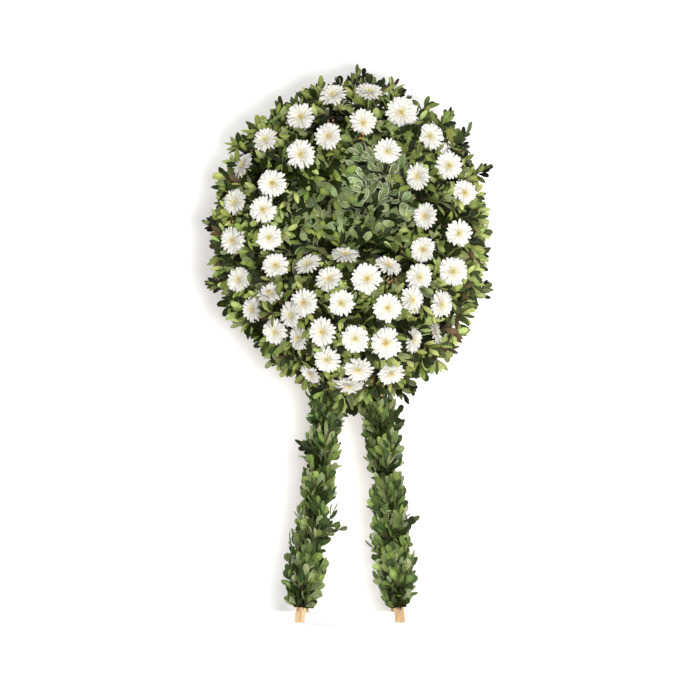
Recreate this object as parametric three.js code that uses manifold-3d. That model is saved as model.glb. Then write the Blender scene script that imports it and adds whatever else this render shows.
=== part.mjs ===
// A standing floral wreath: a domed straw pad on a leaning timber easel, bedded with leafy sprigs,
// ringed and heaped with white gerberas, and with a leafy garland bound round each front leg.
// Millimetres, +Z up, front towards -Y, origin on the floor under the middle of the whole.
// All is laid out in the easel's own frame (x right, z up, -y towards the viewer), in which the
// pad's back is the plane y = 0, and one group then leans it back about the front feet.
import * as THREE from "three";
import { mergeVertices } from "three/addons/utils/BufferGeometryUtils.js";
import Module from "manifold-3d";

const wasm = await Module();
wasm.setup();

const { PI, cos, sin, hypot, sqrt, exp, max, min } = Math;
const radians = (degrees) => (degrees * PI) / 180;
const vec = (x, y, z) => new THREE.Vector3(x, y, z);
const TURN = 2 * PI;
const GOLDEN_ANGLE = PI * (3 - sqrt(5));

// Driving sizes
const LEAN = radians(8);
const GAP = 0.35;
const HEAD = { x: -5, z: 1300, halfWidth: 430, halfHeight: 470, edgeDepth: 60, dishDepth: 75 };
const RING = { at: 0.72, spread: 0.2, rise: 65 };
const HEAP = { x: 0, z: 1050, halfWidth: 345, halfHeight: 215, rise: 120 };
const BED_THICKNESS = 30;
const LEAF = { length: 62, widthShare: 0.46, ridge: 2.2 };
const LATH = { width: 34, thickness: 20 };
const LEG = { footSpread: 172, slope: 0.108, topZ: 1400 };
const BOARD = { share: 0.8, thickness: 8 };

// Materials
const painted = (color, roughness) => new THREE.MeshStandardMaterial({ color, roughness });
const MATERIAL = {
  timber: painted(0xb08a5c, 0.75),
  hardboard: painted(0x7a5836, 0.8),
  straw: painted(0xa79254, 0.95),
  centreLeaf: painted(0x6f8f5e, 0.5),
  bedLeaf: painted(0x5f8a35, 0.5),
  heapLeaf: painted(0x567f33, 0.5),
  legLeaf: painted(0x47703d, 0.45),
  petal: painted(0xf6f4ec, 0.6),
};

// Small tools for closed solids

function seeded(seed) {
  let state = seed;
  return () => {
    state = (state + 0x6d2b79f5) | 0;
    let t = Math.imul(state ^ (state >>> 15), 1 | state);
    t = (t + Math.imul(t ^ (t >>> 7), 61 | t)) ^ t;
    return ((t ^ (t >>> 14)) >>> 0) / 4294967296;
  };
}

const between = (random, low, high) => low + (high - low) * random();

function polyhedron(points, faces) {
  const geometry = new THREE.BufferGeometry();
  geometry.setAttribute("position", new THREE.Float32BufferAttribute(points.flatMap((p) => p.toArray()), 3));
  geometry.setIndex(faces.flat());
  return geometry;
}

function solidOf(geometry) {
  const bare = geometry.clone();
  bare.deleteAttribute("normal");
  bare.deleteAttribute("uv");
  const merged = mergeVertices(bare, 1e-3);
  return new wasm.Manifold(
    new wasm.Mesh({
      numProp: 3,
      vertProperties: new Float32Array(merged.attributes.position.array),
      triVerts: new Uint32Array(merged.index.array),
    }),
  );
}

function geometryOf(solid) {
  const mesh = solid.getMesh();
  const geometry = new THREE.BufferGeometry();
  geometry.setAttribute("position", new THREE.BufferAttribute(mesh.vertProperties, 3));
  geometry.setIndex(new THREE.BufferAttribute(mesh.triVerts, 1));
  return geometry;
}

function largestBody(solid) {
  return solid.decompose().sort((a, b) => b.volume() - a.volume())[0];
}

// A closed skin over a run of rings, from the back to the front, each turning the same way.
// A ring is a list of { angle, point }; the first and the last may be a single point.
function skinOver(rings) {
  const points = [];
  const faces = [];
  const starts = rings.map((ring) => {
    points.push(...ring.map((corner) => corner.point));
    return points.length - ring.length;
  });
  const angleAt = (ring, i) => ring[i % ring.length].angle + (i >= ring.length ? TURN : 0);
  for (let k = 1; k < rings.length; k++) {
    const [back, front] = [rings[k - 1], rings[k]];
    const backSteps = back.length > 1 ? back.length : 0;
    const frontSteps = front.length > 1 ? front.length : 0;
    let [i, j] = [0, 0];
    while (i < backSteps || j < frontSteps) {
      const here = starts[k - 1] + (i % back.length);
      const there = starts[k] + (j % front.length);
      const backIsNext = i < backSteps && angleAt(back, i + 1) <= angleAt(front, j + 1) + 1e-9;
      if (j >= frontSteps || backIsNext) {
        faces.push([here, starts[k - 1] + ((i + 1) % back.length), there]);
        i++;
      } else {
        faces.push([here, starts[k] + ((j + 1) % front.length), there]);
        j++;
      }
    }
  }
  for (let i = 1; i + 1 < rings[0].length; i++) {
    faces.push([0, i + 1, i]);
  }
  const last = starts.at(-1);
  for (let i = 1; i + 1 < rings.at(-1).length; i++) {
    faces.push([last, last + i, last + i + 1]);
  }
  return { points, faces, starts };
}

function skinGeometry(rings) {
  const { points, faces } = skinOver(rings);
  return polyhedron(points, faces);
}

// The head's form: a shallow dish inside a raised ring, with a heap swelling over its lower half

function rimShare(x, z) {
  return hypot((x - HEAD.x) / HEAD.halfWidth, (z - HEAD.z) / HEAD.halfHeight);
}

function bedDepth(x, z) {
  const share = rimShare(x, z);
  const ring = RING.rise * exp(-(((share - RING.at) / RING.spread) ** 2));
  const inHeap = 1 - ((x - HEAP.x) / HEAP.halfWidth) ** 2 - ((z - HEAP.z) / HEAP.halfHeight) ** 2;
  const heap = HEAP.rise * sqrt(max(0, inHeap));
  const fall = sqrt(max(0, 1 - share ** 5));
  return HEAD.edgeDepth + (HEAD.dishDepth - HEAD.edgeDepth + ring + heap) * fall;
}

function bedNormal(x, z) {
  const step = 6;
  const slopeX = (bedDepth(x + step, z) - bedDepth(x - step, z)) / (2 * step);
  const slopeZ = (bedDepth(x, z + step) - bedDepth(x, z - step)) / (2 * step);
  return vec(-slopeX, -1, -slopeZ).normalize();
}

function headPoint(share, angle) {
  return { x: HEAD.x + share * HEAD.halfWidth * cos(angle), z: HEAD.z + share * HEAD.halfHeight * sin(angle) };
}

const SHARES = [0.26, 0.5, 0.72, 0.88, 1];
const BACK_EDGE = { share: 0.985, depth: 6 };
const BED_SIDES = 22;
const PAD_SHARE = 0.94;

function headRing(share, depthAt) {
  return Array.from({ length: BED_SIDES }, (_, i) => {
    const angle = (i / BED_SIDES) * TURN;
    const { x, z } = headPoint(share, angle);
    return { angle, point: vec(x, -depthAt(x, z, angle), z) };
  });
}

const pole = (depth) => [{ angle: 0, point: vec(HEAD.x, -depth, HEAD.z) }];

// Straw pad: bundled straw pressed to the head's form, flat at the back
function padForm(inset, backDepth) {
  const drawnIn = (share) => share * PAD_SHARE - (share > 0.9 ? inset / HEAD.halfWidth : 0);
  const under = (depth) => depth - BED_THICKNESS - inset;
  return skinGeometry([
    pole(backDepth),
    headRing(drawnIn(BACK_EDGE.share), () => backDepth),
    headRing(drawnIn(BACK_EDGE.share), () => BACK_EDGE.depth - inset),
    ...SHARES.toReversed().map((share) =>
      headRing(drawnIn(share), (x, z, angle) => {
        const outside = headPoint(share, angle);
        return under(bedDepth(outside.x, outside.z));
      }),
    ),
    pole(under(bedDepth(HEAD.x, HEAD.z))),
  ]);
}

// Outside of the leafy bed: the uneven moss and short twigs over the pad that every sprig grows
// out of
const unevenness = (x, z) => 8 * sin(x * 0.071 + z * 0.043) + 5 * sin(x * 0.113 - z * 0.089);
const BED_OUTSIDE = skinGeometry([
  pole(BACK_EDGE.depth),
  headRing(BACK_EDGE.share, () => BACK_EDGE.depth),
  ...SHARES.toReversed().map((share) => headRing(share, (x, z) => bedDepth(x, z) + unevenness(x, z))),
  pole(bedDepth(HEAD.x, HEAD.z)),
]);

// The point of the bed's own facets in front of a place on the board
const bedSkin = new THREE.Mesh(BED_OUTSIDE);
function onBed(x, z) {
  const [hit] = new THREE.Raycaster(vec(x, -1000, z), vec(0, 1, 0)).intersectObject(bedSkin);
  return hit?.point ?? vec(x, -HEAD.edgeDepth / 2, z);
}

// Gerberas: [x, z, across, yaw, pitch, lift], by row from the top. x and z are seen from the front,
// with the easel leaning. Yaw turns the face to the right, pitch turns it up, and lift is the
// length of stem that shows above the bed.
const LIFT = 46;
const BLOOM_PLAN = [
  [-60, 1798, 95, -10, 40, 92],
  [66, 1804, 95, 5, 55, 86],
  [-171, 1722, 100, -10, 12],
  [172, 1734, 112, 5, 5, 70],
  [44, 1701, 96, 5, 0],
  [-79, 1656, 98, -22, 5],
  [-287, 1644, 90, -20, 22],
  [273, 1656, 95, 15, 10],
  [-169, 1591, 104, -15, 0],
  [124, 1603, 92, 0, -20],
  [-369, 1556, 96, -55, 30],
  [337, 1555, 98, 10, 8],
  [228, 1521, 94, -32, 0],
  [-265, 1495, 99, -10, 0],
  [388, 1463, 90, 20, 0],
  [-394, 1429, 95, -35, 10],
  [-297, 1406, 95, -8, 0],
  [255, 1381, 92, -32, 5],
  [366, 1327, 95, 14, 0],
  [-400, 1302, 96, -28, 0],
  [-275, 1313, 90, 0, 0],
  [245, 1272, 92, -12, 0],
  [-252, 1218, 92, 0, 20],
  [-144, 1220, 92, -28, 45],
  [-17, 1253, 100, 5, 62],
  [129, 1216, 94, 28, 48],
  [-72, 1171, 96, -18, 24],
  [56, 1171, 110, 10, 12],
  [231, 1177, 100, 28, 0, 54],
  [347, 1198, 108, 10, 0],
  [-380, 1171, 90, -25, 8],
  [-271, 1122, 92, -20, 40],
  [-333, 1069, 90, -45, 0],
  [-159, 1089, 98, -22, 0],
  [-31, 1089, 92, 0, 0],
  [126, 1073, 100, 0, 0],
  [208, 1098, 102, 42, 0],
  [309, 1084, 96, 38, 0],
  [-201, 1048, 96, -48, 0],
  [-255, 991, 94, -28, -8],
  [-179, 971, 90, -55, -5],
  [-97, 991, 100, -24, -5],
  [16, 969, 98, 0, -5],
  [120, 954, 112, 10, -8],
  [216, 963, 88, 58, -5],
  [290, 991, 84, 72, 18],
  [-81, 899, 96, -10, -24],
  [26, 864, 104, 0, -42],
  [138, 852, 96, 18, -34],
  [-5, 808, 96, -5, -62],
  [-136, 848, 84, -55, -38],
];

const PETALS = 8;
const STEM = { radius: 3.4, topRadius: 3.8, inBed: 14 };

// Close neighbours, wired stem to stem as one bunch; every other bloom stands alone
const BUNCHES = [
  [17, 21],
  [24, 27],
  [26, 28],
  [29, 37, 36],
  [34, 39, 40],
  [48, 50],
];
const TIE = { radius: 2.2, behind: 22 };

// Where a bloom sits in the easel's frame: its face's middle, the way it faces and its stem
function seatBloom([x, z, across, yaw, pitch, lift = LIFT]) {
  const [turn, tip] = [radians(yaw), radians(pitch) - LEAN];
  const axis = vec(sin(turn) * cos(tip), -cos(turn) * cos(tip), sin(tip));
  const centre = vec(x, 0, z);
  let root = centre;
  for (let pass = 0; pass < 6; pass++) {
    root = onBed(centre.x - lift * axis.x, centre.z - lift * axis.z);
    centre.y = root.y + lift * axis.y;
    centre.z = (z + centre.y * sin(LEAN)) / cos(LEAN);
  }
  return { root, centre, axis, radius: across / 2, stem: lift + STEM.inBed };
}

function stemRing(radius, height) {
  return [0, 1, 2].map((third) => {
    const angle = (third / 3) * TURN;
    return { angle, point: vec(radius * cos(angle), radius * sin(angle), height) };
  });
}

function facing(axis, centre) {
  const turned = new THREE.Matrix4().makeRotationFromQuaternion(
    new THREE.Quaternion().setFromUnitVectors(vec(0, 0, 1), axis),
  );
  return turned.setPosition(centre);
}

// One gerbera: a stem, a cup, a layer of strap petals, a shorter layer set between them and a
// raised eye, as one closed skin
function gerbera({ centre, axis, radius, stem }) {
  const pitch = TURN / PETALS;
  const corner = (place, share, height) => {
    const angle = place * pitch;
    return { angle, point: vec(share * radius * cos(angle), share * radius * sin(angle), height) };
  };
  const petals = Array.from({ length: PETALS }, (_, i) => i);
  const evenRing = (share, height) => petals.map((i) => corner(i, share, height));
  const nod = (i) => 2.2 * sin(i * 2.3 + radius);
  const skin = skinGeometry([
    stemRing(STEM.radius, -stem),
    stemRing(STEM.topRadius, -13),
    evenRing(0.17, -6),
    petals.flatMap((i) => [corner(i, 0.6, 0), corner(i + 0.23, 1, 3 + nod(i)), corner(i + 0.77, 1, 3 + nod(i))]),
    evenRing(0.32, 2.5),
    petals.flatMap((i) => [corner(i, 0.74, 7.5), corner(i + 0.5, 0.42, 4.5)]),
    evenRing(0.2, 6),
    [{ angle: 0, point: vec(0, 0, 8.5) }],
  ]);
  return skin.applyMatrix4(facing(axis, centre));
}

function stemHole({ centre, axis, stem }) {
  const room = 2 * GAP;
  const hole = skinGeometry([
    stemRing(STEM.radius + room, -stem - GAP),
    stemRing(STEM.topRadius + room, -13),
  ]);
  return solidOf(hole.applyMatrix4(facing(axis, centre)));
}

function tiesOf(blooms) {
  return BUNCHES.flatMap((numbers) =>
    numbers.slice(1).map((number, i) =>
      [numbers[i], number].map((each) => {
        const { centre, axis } = blooms[each - 1];
        return centre.clone().addScaledVector(axis, -TIE.behind);
      }),
    ),
  );
}

function tieWire([from, to], room = 0) {
  const radius = TIE.radius + room;
  const wire = skinGeometry([stemRing(radius, 0), stemRing(radius, from.distanceTo(to))]);
  return solidOf(wire.applyMatrix4(facing(to.clone().sub(from).normalize(), from)));
}

function bloomNodes(blooms) {
  const ties = tiesOf(blooms);
  const bunched = new Set(BUNCHES.flat());
  const single = blooms.map((_, i) => [i + 1]).filter(([number]) => !bunched.has(number));
  return [...single, ...BUNCHES].map((numbers) => {
    const name = ["gerbera", ...numbers.map((number) => String(number).padStart(2, "0"))].join("_");
    const heads = numbers.map((number) => solidOf(gerbera(blooms[number - 1])));
    const wires = numbers.slice(1).map(() => tieWire(ties.shift()));
    return [name, geometryOf(wasm.Manifold.union([...heads, ...wires]))];
  });
}

// Leaves: a blunt, obovate blade with a raised midrib, grown from a triangle of its stem.
// `from` is that triangle's corners, left, right and top, as seen along the leaf.
function leafCorners(base, along, across, up, length, widthShare) {
  const half = (length * widthShare) / 2;
  const at = (share, side, lift) =>
    base.clone().addScaledVector(along, length * share).addScaledVector(across, side).addScaledVector(up, lift);
  return [
    at(0.6, -half, 0),
    at(0.6, half, 0),
    at(0.58, 0, LEAF.ridge),
    at(1, -half * 0.42, -length * 0.05),
    at(1, half * 0.42, -length * 0.05),
  ];
}

function leafFaces([l0, r0, t0], first) {
  const [l1, r1, t1, l2, r2] = [0, 1, 2, 3, 4].map((i) => first + i);
  return [
    [l0, l1, r1], [l0, r1, r0],
    [l0, t0, t1], [l0, t1, l1],
    [t0, r0, r1], [t0, r1, t1],
    [l1, l2, r2], [l1, r2, r1],
    [l1, t1, l2], [t1, r2, l2], [t1, r1, r2],
  ];
}

// Points over a leaf, to test what it would run into
function leafProbe(base, [left, right, ridge, tipLeft, tipRight]) {
  const tip = tipLeft.clone().lerp(tipRight, 0.5);
  const stalk = [left, ridge, right].map((corner) => base.clone().lerp(corner, 0.6));
  const blade = [left, ridge, right].map((corner, i) => corner.clone().lerp([tipLeft, tip, tipRight][i], 0.5));
  return [...stalk, left, ridge, right, ...blade, tipLeft, tip, tipRight];
}

// The room that leaves already take up, as points sorted into cells
function leafRoom(clearance) {
  const cells = new Map();
  const cellOf = (p) => [p.x, p.y, p.z].map((value) => Math.floor(value / clearance));
  const isFree = (p) => {
    const [i, j, k] = cellOf(p);
    for (const di of [-1, 0, 1]) {
      for (const dj of [-1, 0, 1]) {
        for (const dk of [-1, 0, 1]) {
          const others = cells.get(`${i + di},${j + dj},${k + dk}`) ?? [];
          if (others.some((other) => other.distanceTo(p) < clearance)) return false;
        }
      }
    }
    return true;
  };
  const take = (points) => {
    for (const p of points) {
      const key = cellOf(p).join(",");
      cells.set(key, [...(cells.get(key) ?? []), p]);
    }
  };
  return { isFree, take };
}

// The first way of setting a leaf, from as wanted to tilted and shorter, that runs into nothing
function fitLeaf({ base, out, axis, rise, roll, length, fits }) {
  for (const scale of [1, 0.85, 0.7]) {
    for (const tilt of [0, -12, 12, -24, 24, 36, -36]) {
      const angle = radians(rise + tilt);
      const along = out.clone().multiplyScalar(cos(angle)).addScaledVector(axis, sin(angle));
      const across = out.clone().cross(axis).normalize().applyAxisAngle(along, roll);
      const up = across.clone().cross(along).normalize();
      const corners = leafCorners(base, along, across, up, length * scale, LEAF.widthShare);
      const probe = leafProbe(base, corners);
      if (fits(probe)) return { corners, probe };
    }
  }
  return null;
}

// A sprig: a cone of a hub sunk in the bed, with a leaf grown from each facet of its crown
function sprig({ root, axis, count, turn, length, rise, stalk }, fits, room) {
  const hubRadius = 6.5;
  const u = vec(0, 0, 1).cross(axis).normalize();
  const v = axis.clone().cross(u);
  const outAt = (angle) => u.clone().multiplyScalar(cos(angle)).addScaledVector(v, sin(angle));
  const crown = root.clone().addScaledVector(axis, 3 + stalk);
  const points = [root.clone().addScaledVector(axis, -8), crown.clone().addScaledVector(axis, 7)];
  const [tail, peak] = [0, 1];
  for (let i = 0; i < count; i++) {
    points.push(crown.clone().addScaledVector(outAt(turn + (i / count) * TURN), hubRadius));
  }
  const faces = [];
  const probes = [];
  for (let i = 0; i < count; i++) {
    const right = 2 + i;
    const left = 2 + ((i + 1) % count);
    faces.push([left, right, tail]);
    const out = outAt(turn + ((i + 0.5) / count) * TURN);
    const base = crown.clone().addScaledVector(out, hubRadius * 0.8).addScaledVector(axis, 1);
    const inner = i % 2 === 1;
    const leaf = fitLeaf({
      base,
      out,
      axis,
      rise: rise + (inner ? 14 : 0),
      roll: 0.35 * sin(i * 2.4 + turn * 3),
      length: length * (inner ? 0.85 : 1),
      fits: (probe) => fits(probe) && probe.every(room.isFree),
    });
    if (leaf) {
      faces.push(...leafFaces([left, right, peak], points.length));
      points.push(...leaf.corners);
      probes.push(...leaf.probe);
    } else {
      faces.push([left, peak, right]);
    }
  }
  room.take(probes);
  return solidOf(polyhedron(points, faces));
}

// The foliage's four parts: the pale middle, the two sides of the ring and the heap below
const SEAM_Z = 1245;
const HEAD_FOOT = { z: 768, clearZ: 845, clearY: -22 };
const MIDDLE = { x: 0, z: 1400, halfWidth: 215, halfHeight: 150 };

const middleShare = (x, z) => hypot((x - MIDDLE.x) / MIDDLE.halfWidth, (z - MIDDLE.z) / MIDDLE.halfHeight);

// How far inside its part of the foliage a point lies, in mm, seen from the front
const INSIDE = {
  foliage_middle: (x, z) => min((1 - middleShare(x, z)) * MIDDLE.halfHeight, z - SEAM_Z),
  foliage_ring_left: (x, z) => min(-x, z - SEAM_Z, (middleShare(x, z) - 1) * MIDDLE.halfHeight),
  foliage_ring_right: (x, z) => min(x, z - SEAM_Z, (middleShare(x, z) - 1) * MIDDLE.halfHeight),
  foliage_heap: (x, z) => min(SEAM_Z - z, z - HEAD_FOOT.z),
};

const partAt = (x, z) => Object.keys(INSIDE).reduce((a, b) => (INSIDE[a](x, z) >= INSIDE[b](x, z) ? a : b));

function block(lowX, highX, lowZ, highZ) {
  const box = new THREE.BoxGeometry(highX - lowX, 1000, highZ - lowZ);
  return solidOf(box.translate((lowX + highX) / 2, 0, (lowZ + highZ) / 2));
}

function middlePrism(growth) {
  const outline = new THREE.Shape();
  outline.absellipse(MIDDLE.x, MIDDLE.z, MIDDLE.halfWidth + growth, MIDDLE.halfHeight + growth, 0, TURN);
  const prism = new THREE.ExtrudeGeometry(outline, { depth: 800, bevelEnabled: false, curveSegments: 7 });
  return solidOf(prism.rotateX(PI / 2).translate(0, 400, 0));
}

function bedParts() {
  const bed = solidOf(BED_OUTSIDE);
  const half = GAP / 2;
  const [far, low] = [2000, 0];
  const upper = bed.subtract(middlePrism(half));
  return {
    foliage_middle: bed.intersect(middlePrism(-half)).intersect(block(-far, far, SEAM_Z + half, far)),
    foliage_ring_left: upper.intersect(block(-far, -half, SEAM_Z + half, far)),
    foliage_ring_right: upper.intersect(block(half, far, SEAM_Z + half, far)),
    foliage_heap: bed.intersect(block(-far, far, low, SEAM_Z - half)),
  };
}

function clearOfBlooms(point, blooms, ties) {
  const clearOfTies = ties.every(([from, to]) => {
    const nearest = new THREE.Line3(from, to).closestPointToPoint(point, true, vec(0, 0, 0));
    return nearest.distanceTo(point) > 7;
  });
  return clearOfTies && blooms.every(({ centre, axis, radius, stem }) => {
    const offset = point.clone().sub(centre);
    const ahead = offset.dot(axis);
    const aside = sqrt(max(0, offset.lengthSq() - ahead * ahead));
    const inFace = aside < radius + 3 && ahead > -9 && ahead < 13;
    const inStem = aside < 5.5 && ahead < 0 && ahead > -stem;
    return !inFace && !inStem;
  });
}

// Sprigs over the front, set out like the seeds of a sunflower, and nudged off stems and seams
function frontSprigs(blooms) {
  const random = seeded(11);
  const count = 60;
  const stemRoom = 19;
  const seamRoom = 14;
  return Array.from({ length: count }, (_, i) => {
    let { x, z } = headPoint(0.93 * sqrt((i + 0.5) / count), i * GOLDEN_ANGLE);
    const part = partAt(x, z);
    const inside = INSIDE[part];
    for (let pass = 0; pass < 8; pass++) {
      for (const { root } of blooms) {
        const away = hypot(x - root.x, z - root.z);
        const push = max(0, stemRoom / away - 1);
        x += (x - root.x) * push;
        z += (z - root.z) * push;
      }
      const deep = inside(x, z);
      const push = max(0, seamRoom - deep);
      const [gradX, gradZ] = [inside(x + 1, z) - deep, inside(x, z + 1) - deep];
      x += gradX * push;
      z += gradZ * push;
    }
    return {
      part,
      root: onBed(x, z),
      axis: bedNormal(x, z),
      count: 5,
      turn: random() * TURN,
      length: LEAF.length * between(random, 0.95, 1.2),
      rise: between(random, 14, 28),
      stalk: 0,
    };
  });
}

// Sprigs round the rim, reaching outwards, with a long one standing up at the top
function rimSprigs() {
  const random = seeded(5);
  const count = 27;
  const topIndex = 7;
  return Array.from({ length: count }, (_, i) => {
    const angle = ((i + between(random, -0.2, 0.2)) / count) * TURN;
    const { x, z } = headPoint(0.985, angle);
    const depth = between(random, 26, 40);
    const forward = radians(between(random, -8, 26));
    const axis = vec(cos(angle) * cos(forward), -sin(forward), sin(angle) * cos(forward));
    return {
      part: partAt(x, z),
      root: vec(x, -depth, z),
      axis,
      count: 5,
      turn: random() * TURN,
      length: LEAF.length * between(random, 0.95, 1.2),
      rise: between(random, 26, 44),
      stalk: i === topIndex ? 58 : between(random, 0, 10),
    };
  });
}

function headFoliage(blooms) {
  const room = leafRoom(8);
  const sprigs = [...frontSprigs(blooms), ...rimSprigs()];
  const ties = tiesOf(blooms);
  const padRoom = solidOf(padForm(0, -10));
  const isClear = (p) => {
    const inFront = p.y < (p.z < HEAD_FOOT.clearZ ? HEAD_FOOT.clearY - 3 : -2);
    const overBed = rimShare(p.x, p.z) > 1 || -p.y > bedDepth(p.x, p.z) + 1;
    return inFront && overBed && clearOfBlooms(p, blooms, ties);
  };
  return Object.entries(bedParts()).map(([name, bed]) => {
    const inside = INSIDE[name];
    const fits = (points) => points.every((p) => inside(p.x, p.z) > 3 && isClear(p));
    const grown = sprigs.filter((each) => each.part === name).map((each) => sprig(each, fits, room));
    const stems = blooms.filter(({ root }) => inside(root.x, root.z) > -30).map(stemHole);
    const wires = ties.map((tie) => tieWire(tie, 2 * GAP));
    const leafy = wasm.Manifold.union([bed, ...grown]).subtract(wasm.Manifold.union([padRoom, ...stems, ...wires]));
    return [name, largestBody(leafy)];
  });
}

// Timber easel

function lath(top, foot, faceNormal, width, thickness) {
  const lengthways = top.clone().sub(foot);
  const length = lengthways.length();
  const z = lengthways.normalize();
  const y = faceNormal.clone().normalize();
  const x = y.clone().cross(z);
  const middle = top.clone().add(foot).multiplyScalar(0.5);
  const place = new THREE.Matrix4().makeBasis(x, y, z).setPosition(middle);
  return new THREE.BoxGeometry(width, thickness, length).applyMatrix4(place);
}

// What lies under the floor, in the easel's leaning frame
function underFloor() {
  const slab = new THREE.BoxGeometry(3000, 3000, 400).translate(0, 0, -200);
  return solidOf(slab.applyMatrix4(new THREE.Matrix4().makeRotationX(LEAN)));
}

const BOARD_BACK = GAP + BOARD.thickness;
const LEG_Y = BOARD_BACK + GAP + LATH.thickness / 2;
const RAIL_Y = LEG_Y + LATH.thickness + GAP;
const legX = (z) => LEG.footSpread - LEG.slope * z;

// Hardboard disc that the pad is pinned to
function backboard() {
  const outline = new THREE.Shape();
  outline.absellipse(HEAD.x, HEAD.z, HEAD.halfWidth * BOARD.share, HEAD.halfHeight * BOARD.share, 0, TURN);
  const disc = new THREE.ExtrudeGeometry(outline, { depth: BOARD.thickness, bevelEnabled: false, curveSegments: 8 });
  return disc.rotateX(PI / 2).translate(0, BOARD_BACK, 0);
}

function frontLeg(side) {
  const at = (z) => vec(side * legX(z), LEG_Y, z);
  return geometryOf(solidOf(lath(at(LEG.topZ), at(-40), vec(0, 1, 0), LATH.width, LATH.thickness)).subtract(underFloor()));
}

// The block behind the legs' tops, its back cut to the slope that the back props take
const PROP_ANGLE = radians(22.5);
const TOP_BLOCK = { length: 130, lowZ: 1285, highZ: 1385, thinEnd: 16 };
const BLOCK_FRONT = LEG_Y + LATH.thickness / 2 + GAP;
const blockBack = (z) => BLOCK_FRONT + TOP_BLOCK.thinEnd + (TOP_BLOCK.highZ - z) * Math.tan(PROP_ANGLE);

function topBlock() {
  const { length, lowZ, highZ } = TOP_BLOCK;
  const profile = new THREE.Shape();
  profile.moveTo(BLOCK_FRONT, lowZ);
  profile.lineTo(blockBack(lowZ), lowZ);
  profile.lineTo(blockBack(highZ), highZ);
  profile.lineTo(BLOCK_FRONT, highZ);
  const wedge = new THREE.ExtrudeGeometry(profile, { depth: length, bevelEnabled: false });
  const upright = new THREE.Matrix4().makeBasis(vec(0, 1, 0), vec(0, 0, 1), vec(1, 0, 0));
  return wedge.applyMatrix4(upright).translate(-length / 2, 0, 0);
}

const PROP_NORMAL = vec(0, cos(PROP_ANGLE), sin(PROP_ANGLE));
const propPoint = (x, z, layer) => vec(x, blockBack(z), z).addScaledVector(PROP_NORMAL, layer);

function backProp(side) {
  const layer = GAP + LATH.thickness / 2;
  const at = (z) => propPoint(side * legX(z), z, layer);
  return geometryOf(
    solidOf(lath(at(TOP_BLOCK.highZ - 4), at(-10), PROP_NORMAL, LATH.width, LATH.thickness)).subtract(underFloor()),
  );
}

function propRail() {
  const z = 900;
  const reach = legX(z) + 30;
  const layer = GAP + LATH.thickness + GAP + LATH.thickness / 2;
  return lath(propPoint(reach, z, layer), propPoint(-reach, z, layer), PROP_NORMAL, LATH.width, LATH.thickness);
}

function crossRail() {
  const z = 880;
  const reach = legX(z) + 34;
  return lath(vec(reach, RAIL_Y, z), vec(-reach, RAIL_Y, z), vec(0, 1, 0), LATH.width, LATH.thickness);
}

// Garlands: a bound core of twigs round each front leg, ringed with upswept leaves that are grown
// from small facets of it
const GARLAND = { lowZ: 40, radius: 30, levels: 16, spacing: 47.5, perLevel: 5 };

function lathRoom(side) {
  const at = (z) => vec(side * legX(z), LEG_Y, z);
  return solidOf(lath(at(LEG.topZ), at(-40), vec(0, 1, 0), LATH.width + 2 * GAP, LATH.thickness + 2 * GAP));
}

function legGarland(side) {
  const random = seeded(side > 0 ? 23 : 31);
  const upLeg = vec(-side * LEG.slope, 0, 1).normalize();
  const right = vec(0, 1, 0).cross(upLeg).normalize();
  const outAt = (angle) => right.clone().multiplyScalar(cos(angle)).addScaledVector(vec(0, 1, 0), sin(angle));
  const foot = vec(side * legX(GARLAND.lowZ), LEG_Y, GARLAND.lowZ);
  const onCore = (angle, radius, height) => ({
    angle,
    point: foot.clone().addScaledVector(upLeg, height).addScaledVector(outAt(angle), radius),
  });
  const around = Array.from({ length: GARLAND.perLevel }, (_, i) => (i / GARLAND.perLevel) * TURN);
  const rings = [around.map((angle) => onCore(angle, GARLAND.radius * 0.8, 0))];
  const halfStalk = 0.11;
  for (let level = 0; level < GARLAND.levels; level++) {
    const twist = ((level % 2) * TURN) / GARLAND.perLevel / 2 + 0.2;
    const radius = GARLAND.radius + 3 * sin(level * 1.9 + side);
    const height = 14 + level * GARLAND.spacing;
    const ring = around.flatMap((angle) =>
      [-halfStalk, halfStalk].map((half) => onCore(angle + twist + half, radius, height)),
    );
    rings.push(ring, around.map((angle) => onCore(angle + twist, radius - 1, height + 9)));
  }
  rings.push(around.map((angle) => onCore(angle, GARLAND.radius * 0.85, 14 + GARLAND.levels * GARLAND.spacing)));
  const { points, faces, starts } = skinOver(rings);

  const room = leafRoom(7);
  const fits = (probe) =>
    probe.every((p) => {
      const aboveFloor = p.z * cos(LEAN) - p.y * sin(LEAN);
      const clearOfHead = p.z < HEAD_FOOT.z - 4 || p.y > HEAD_FOOT.clearY + 3;
      return side * p.x > 2 && aboveFloor > 6 && clearOfHead && room.isFree(p);
    });
  for (let level = 0; level < GARLAND.levels; level++) {
    around.forEach((_, i) => {
      const low = starts[1 + 2 * level] + 2 * i;
      const top = starts[2 + 2 * level] + i;
      const middle = points[low].clone().lerp(points[low + 1], 0.5);
      const out = outAt(rings[2 + 2 * level][i].angle);
      const length = LEAF.length * between(random, 1, 1.3);
      const rise = between(random, 32, 56);
      const roll = between(random, 0.3, 0.95) * (i % 2 ? 1 : -1);
      const leaf = fitLeaf({ base: middle, out, axis: upLeg, rise, roll, length, fits });
      if (!leaf) return;
      const facet = faces.findIndex(([a, b, c]) => a === low && b === low + 1 && c === top);
      faces.splice(facet, 1, ...leafFaces([low + 1, low, top], points.length));
      points.push(...leaf.corners);
      room.take(leaf.probe);
    });
  }
  return solidOf(polyhedron(points, faces)).subtract(lathRoom(side));
}

// Putting it together

const wreath = new THREE.Group();
const easel = new THREE.Group();
easel.rotation.x = -LEAN;
wreath.add(easel);

function place(name, geometry, material) {
  const mesh = new THREE.Mesh(geometry, material);
  mesh.name = name;
  easel.add(mesh);
  return mesh;
}

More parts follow.
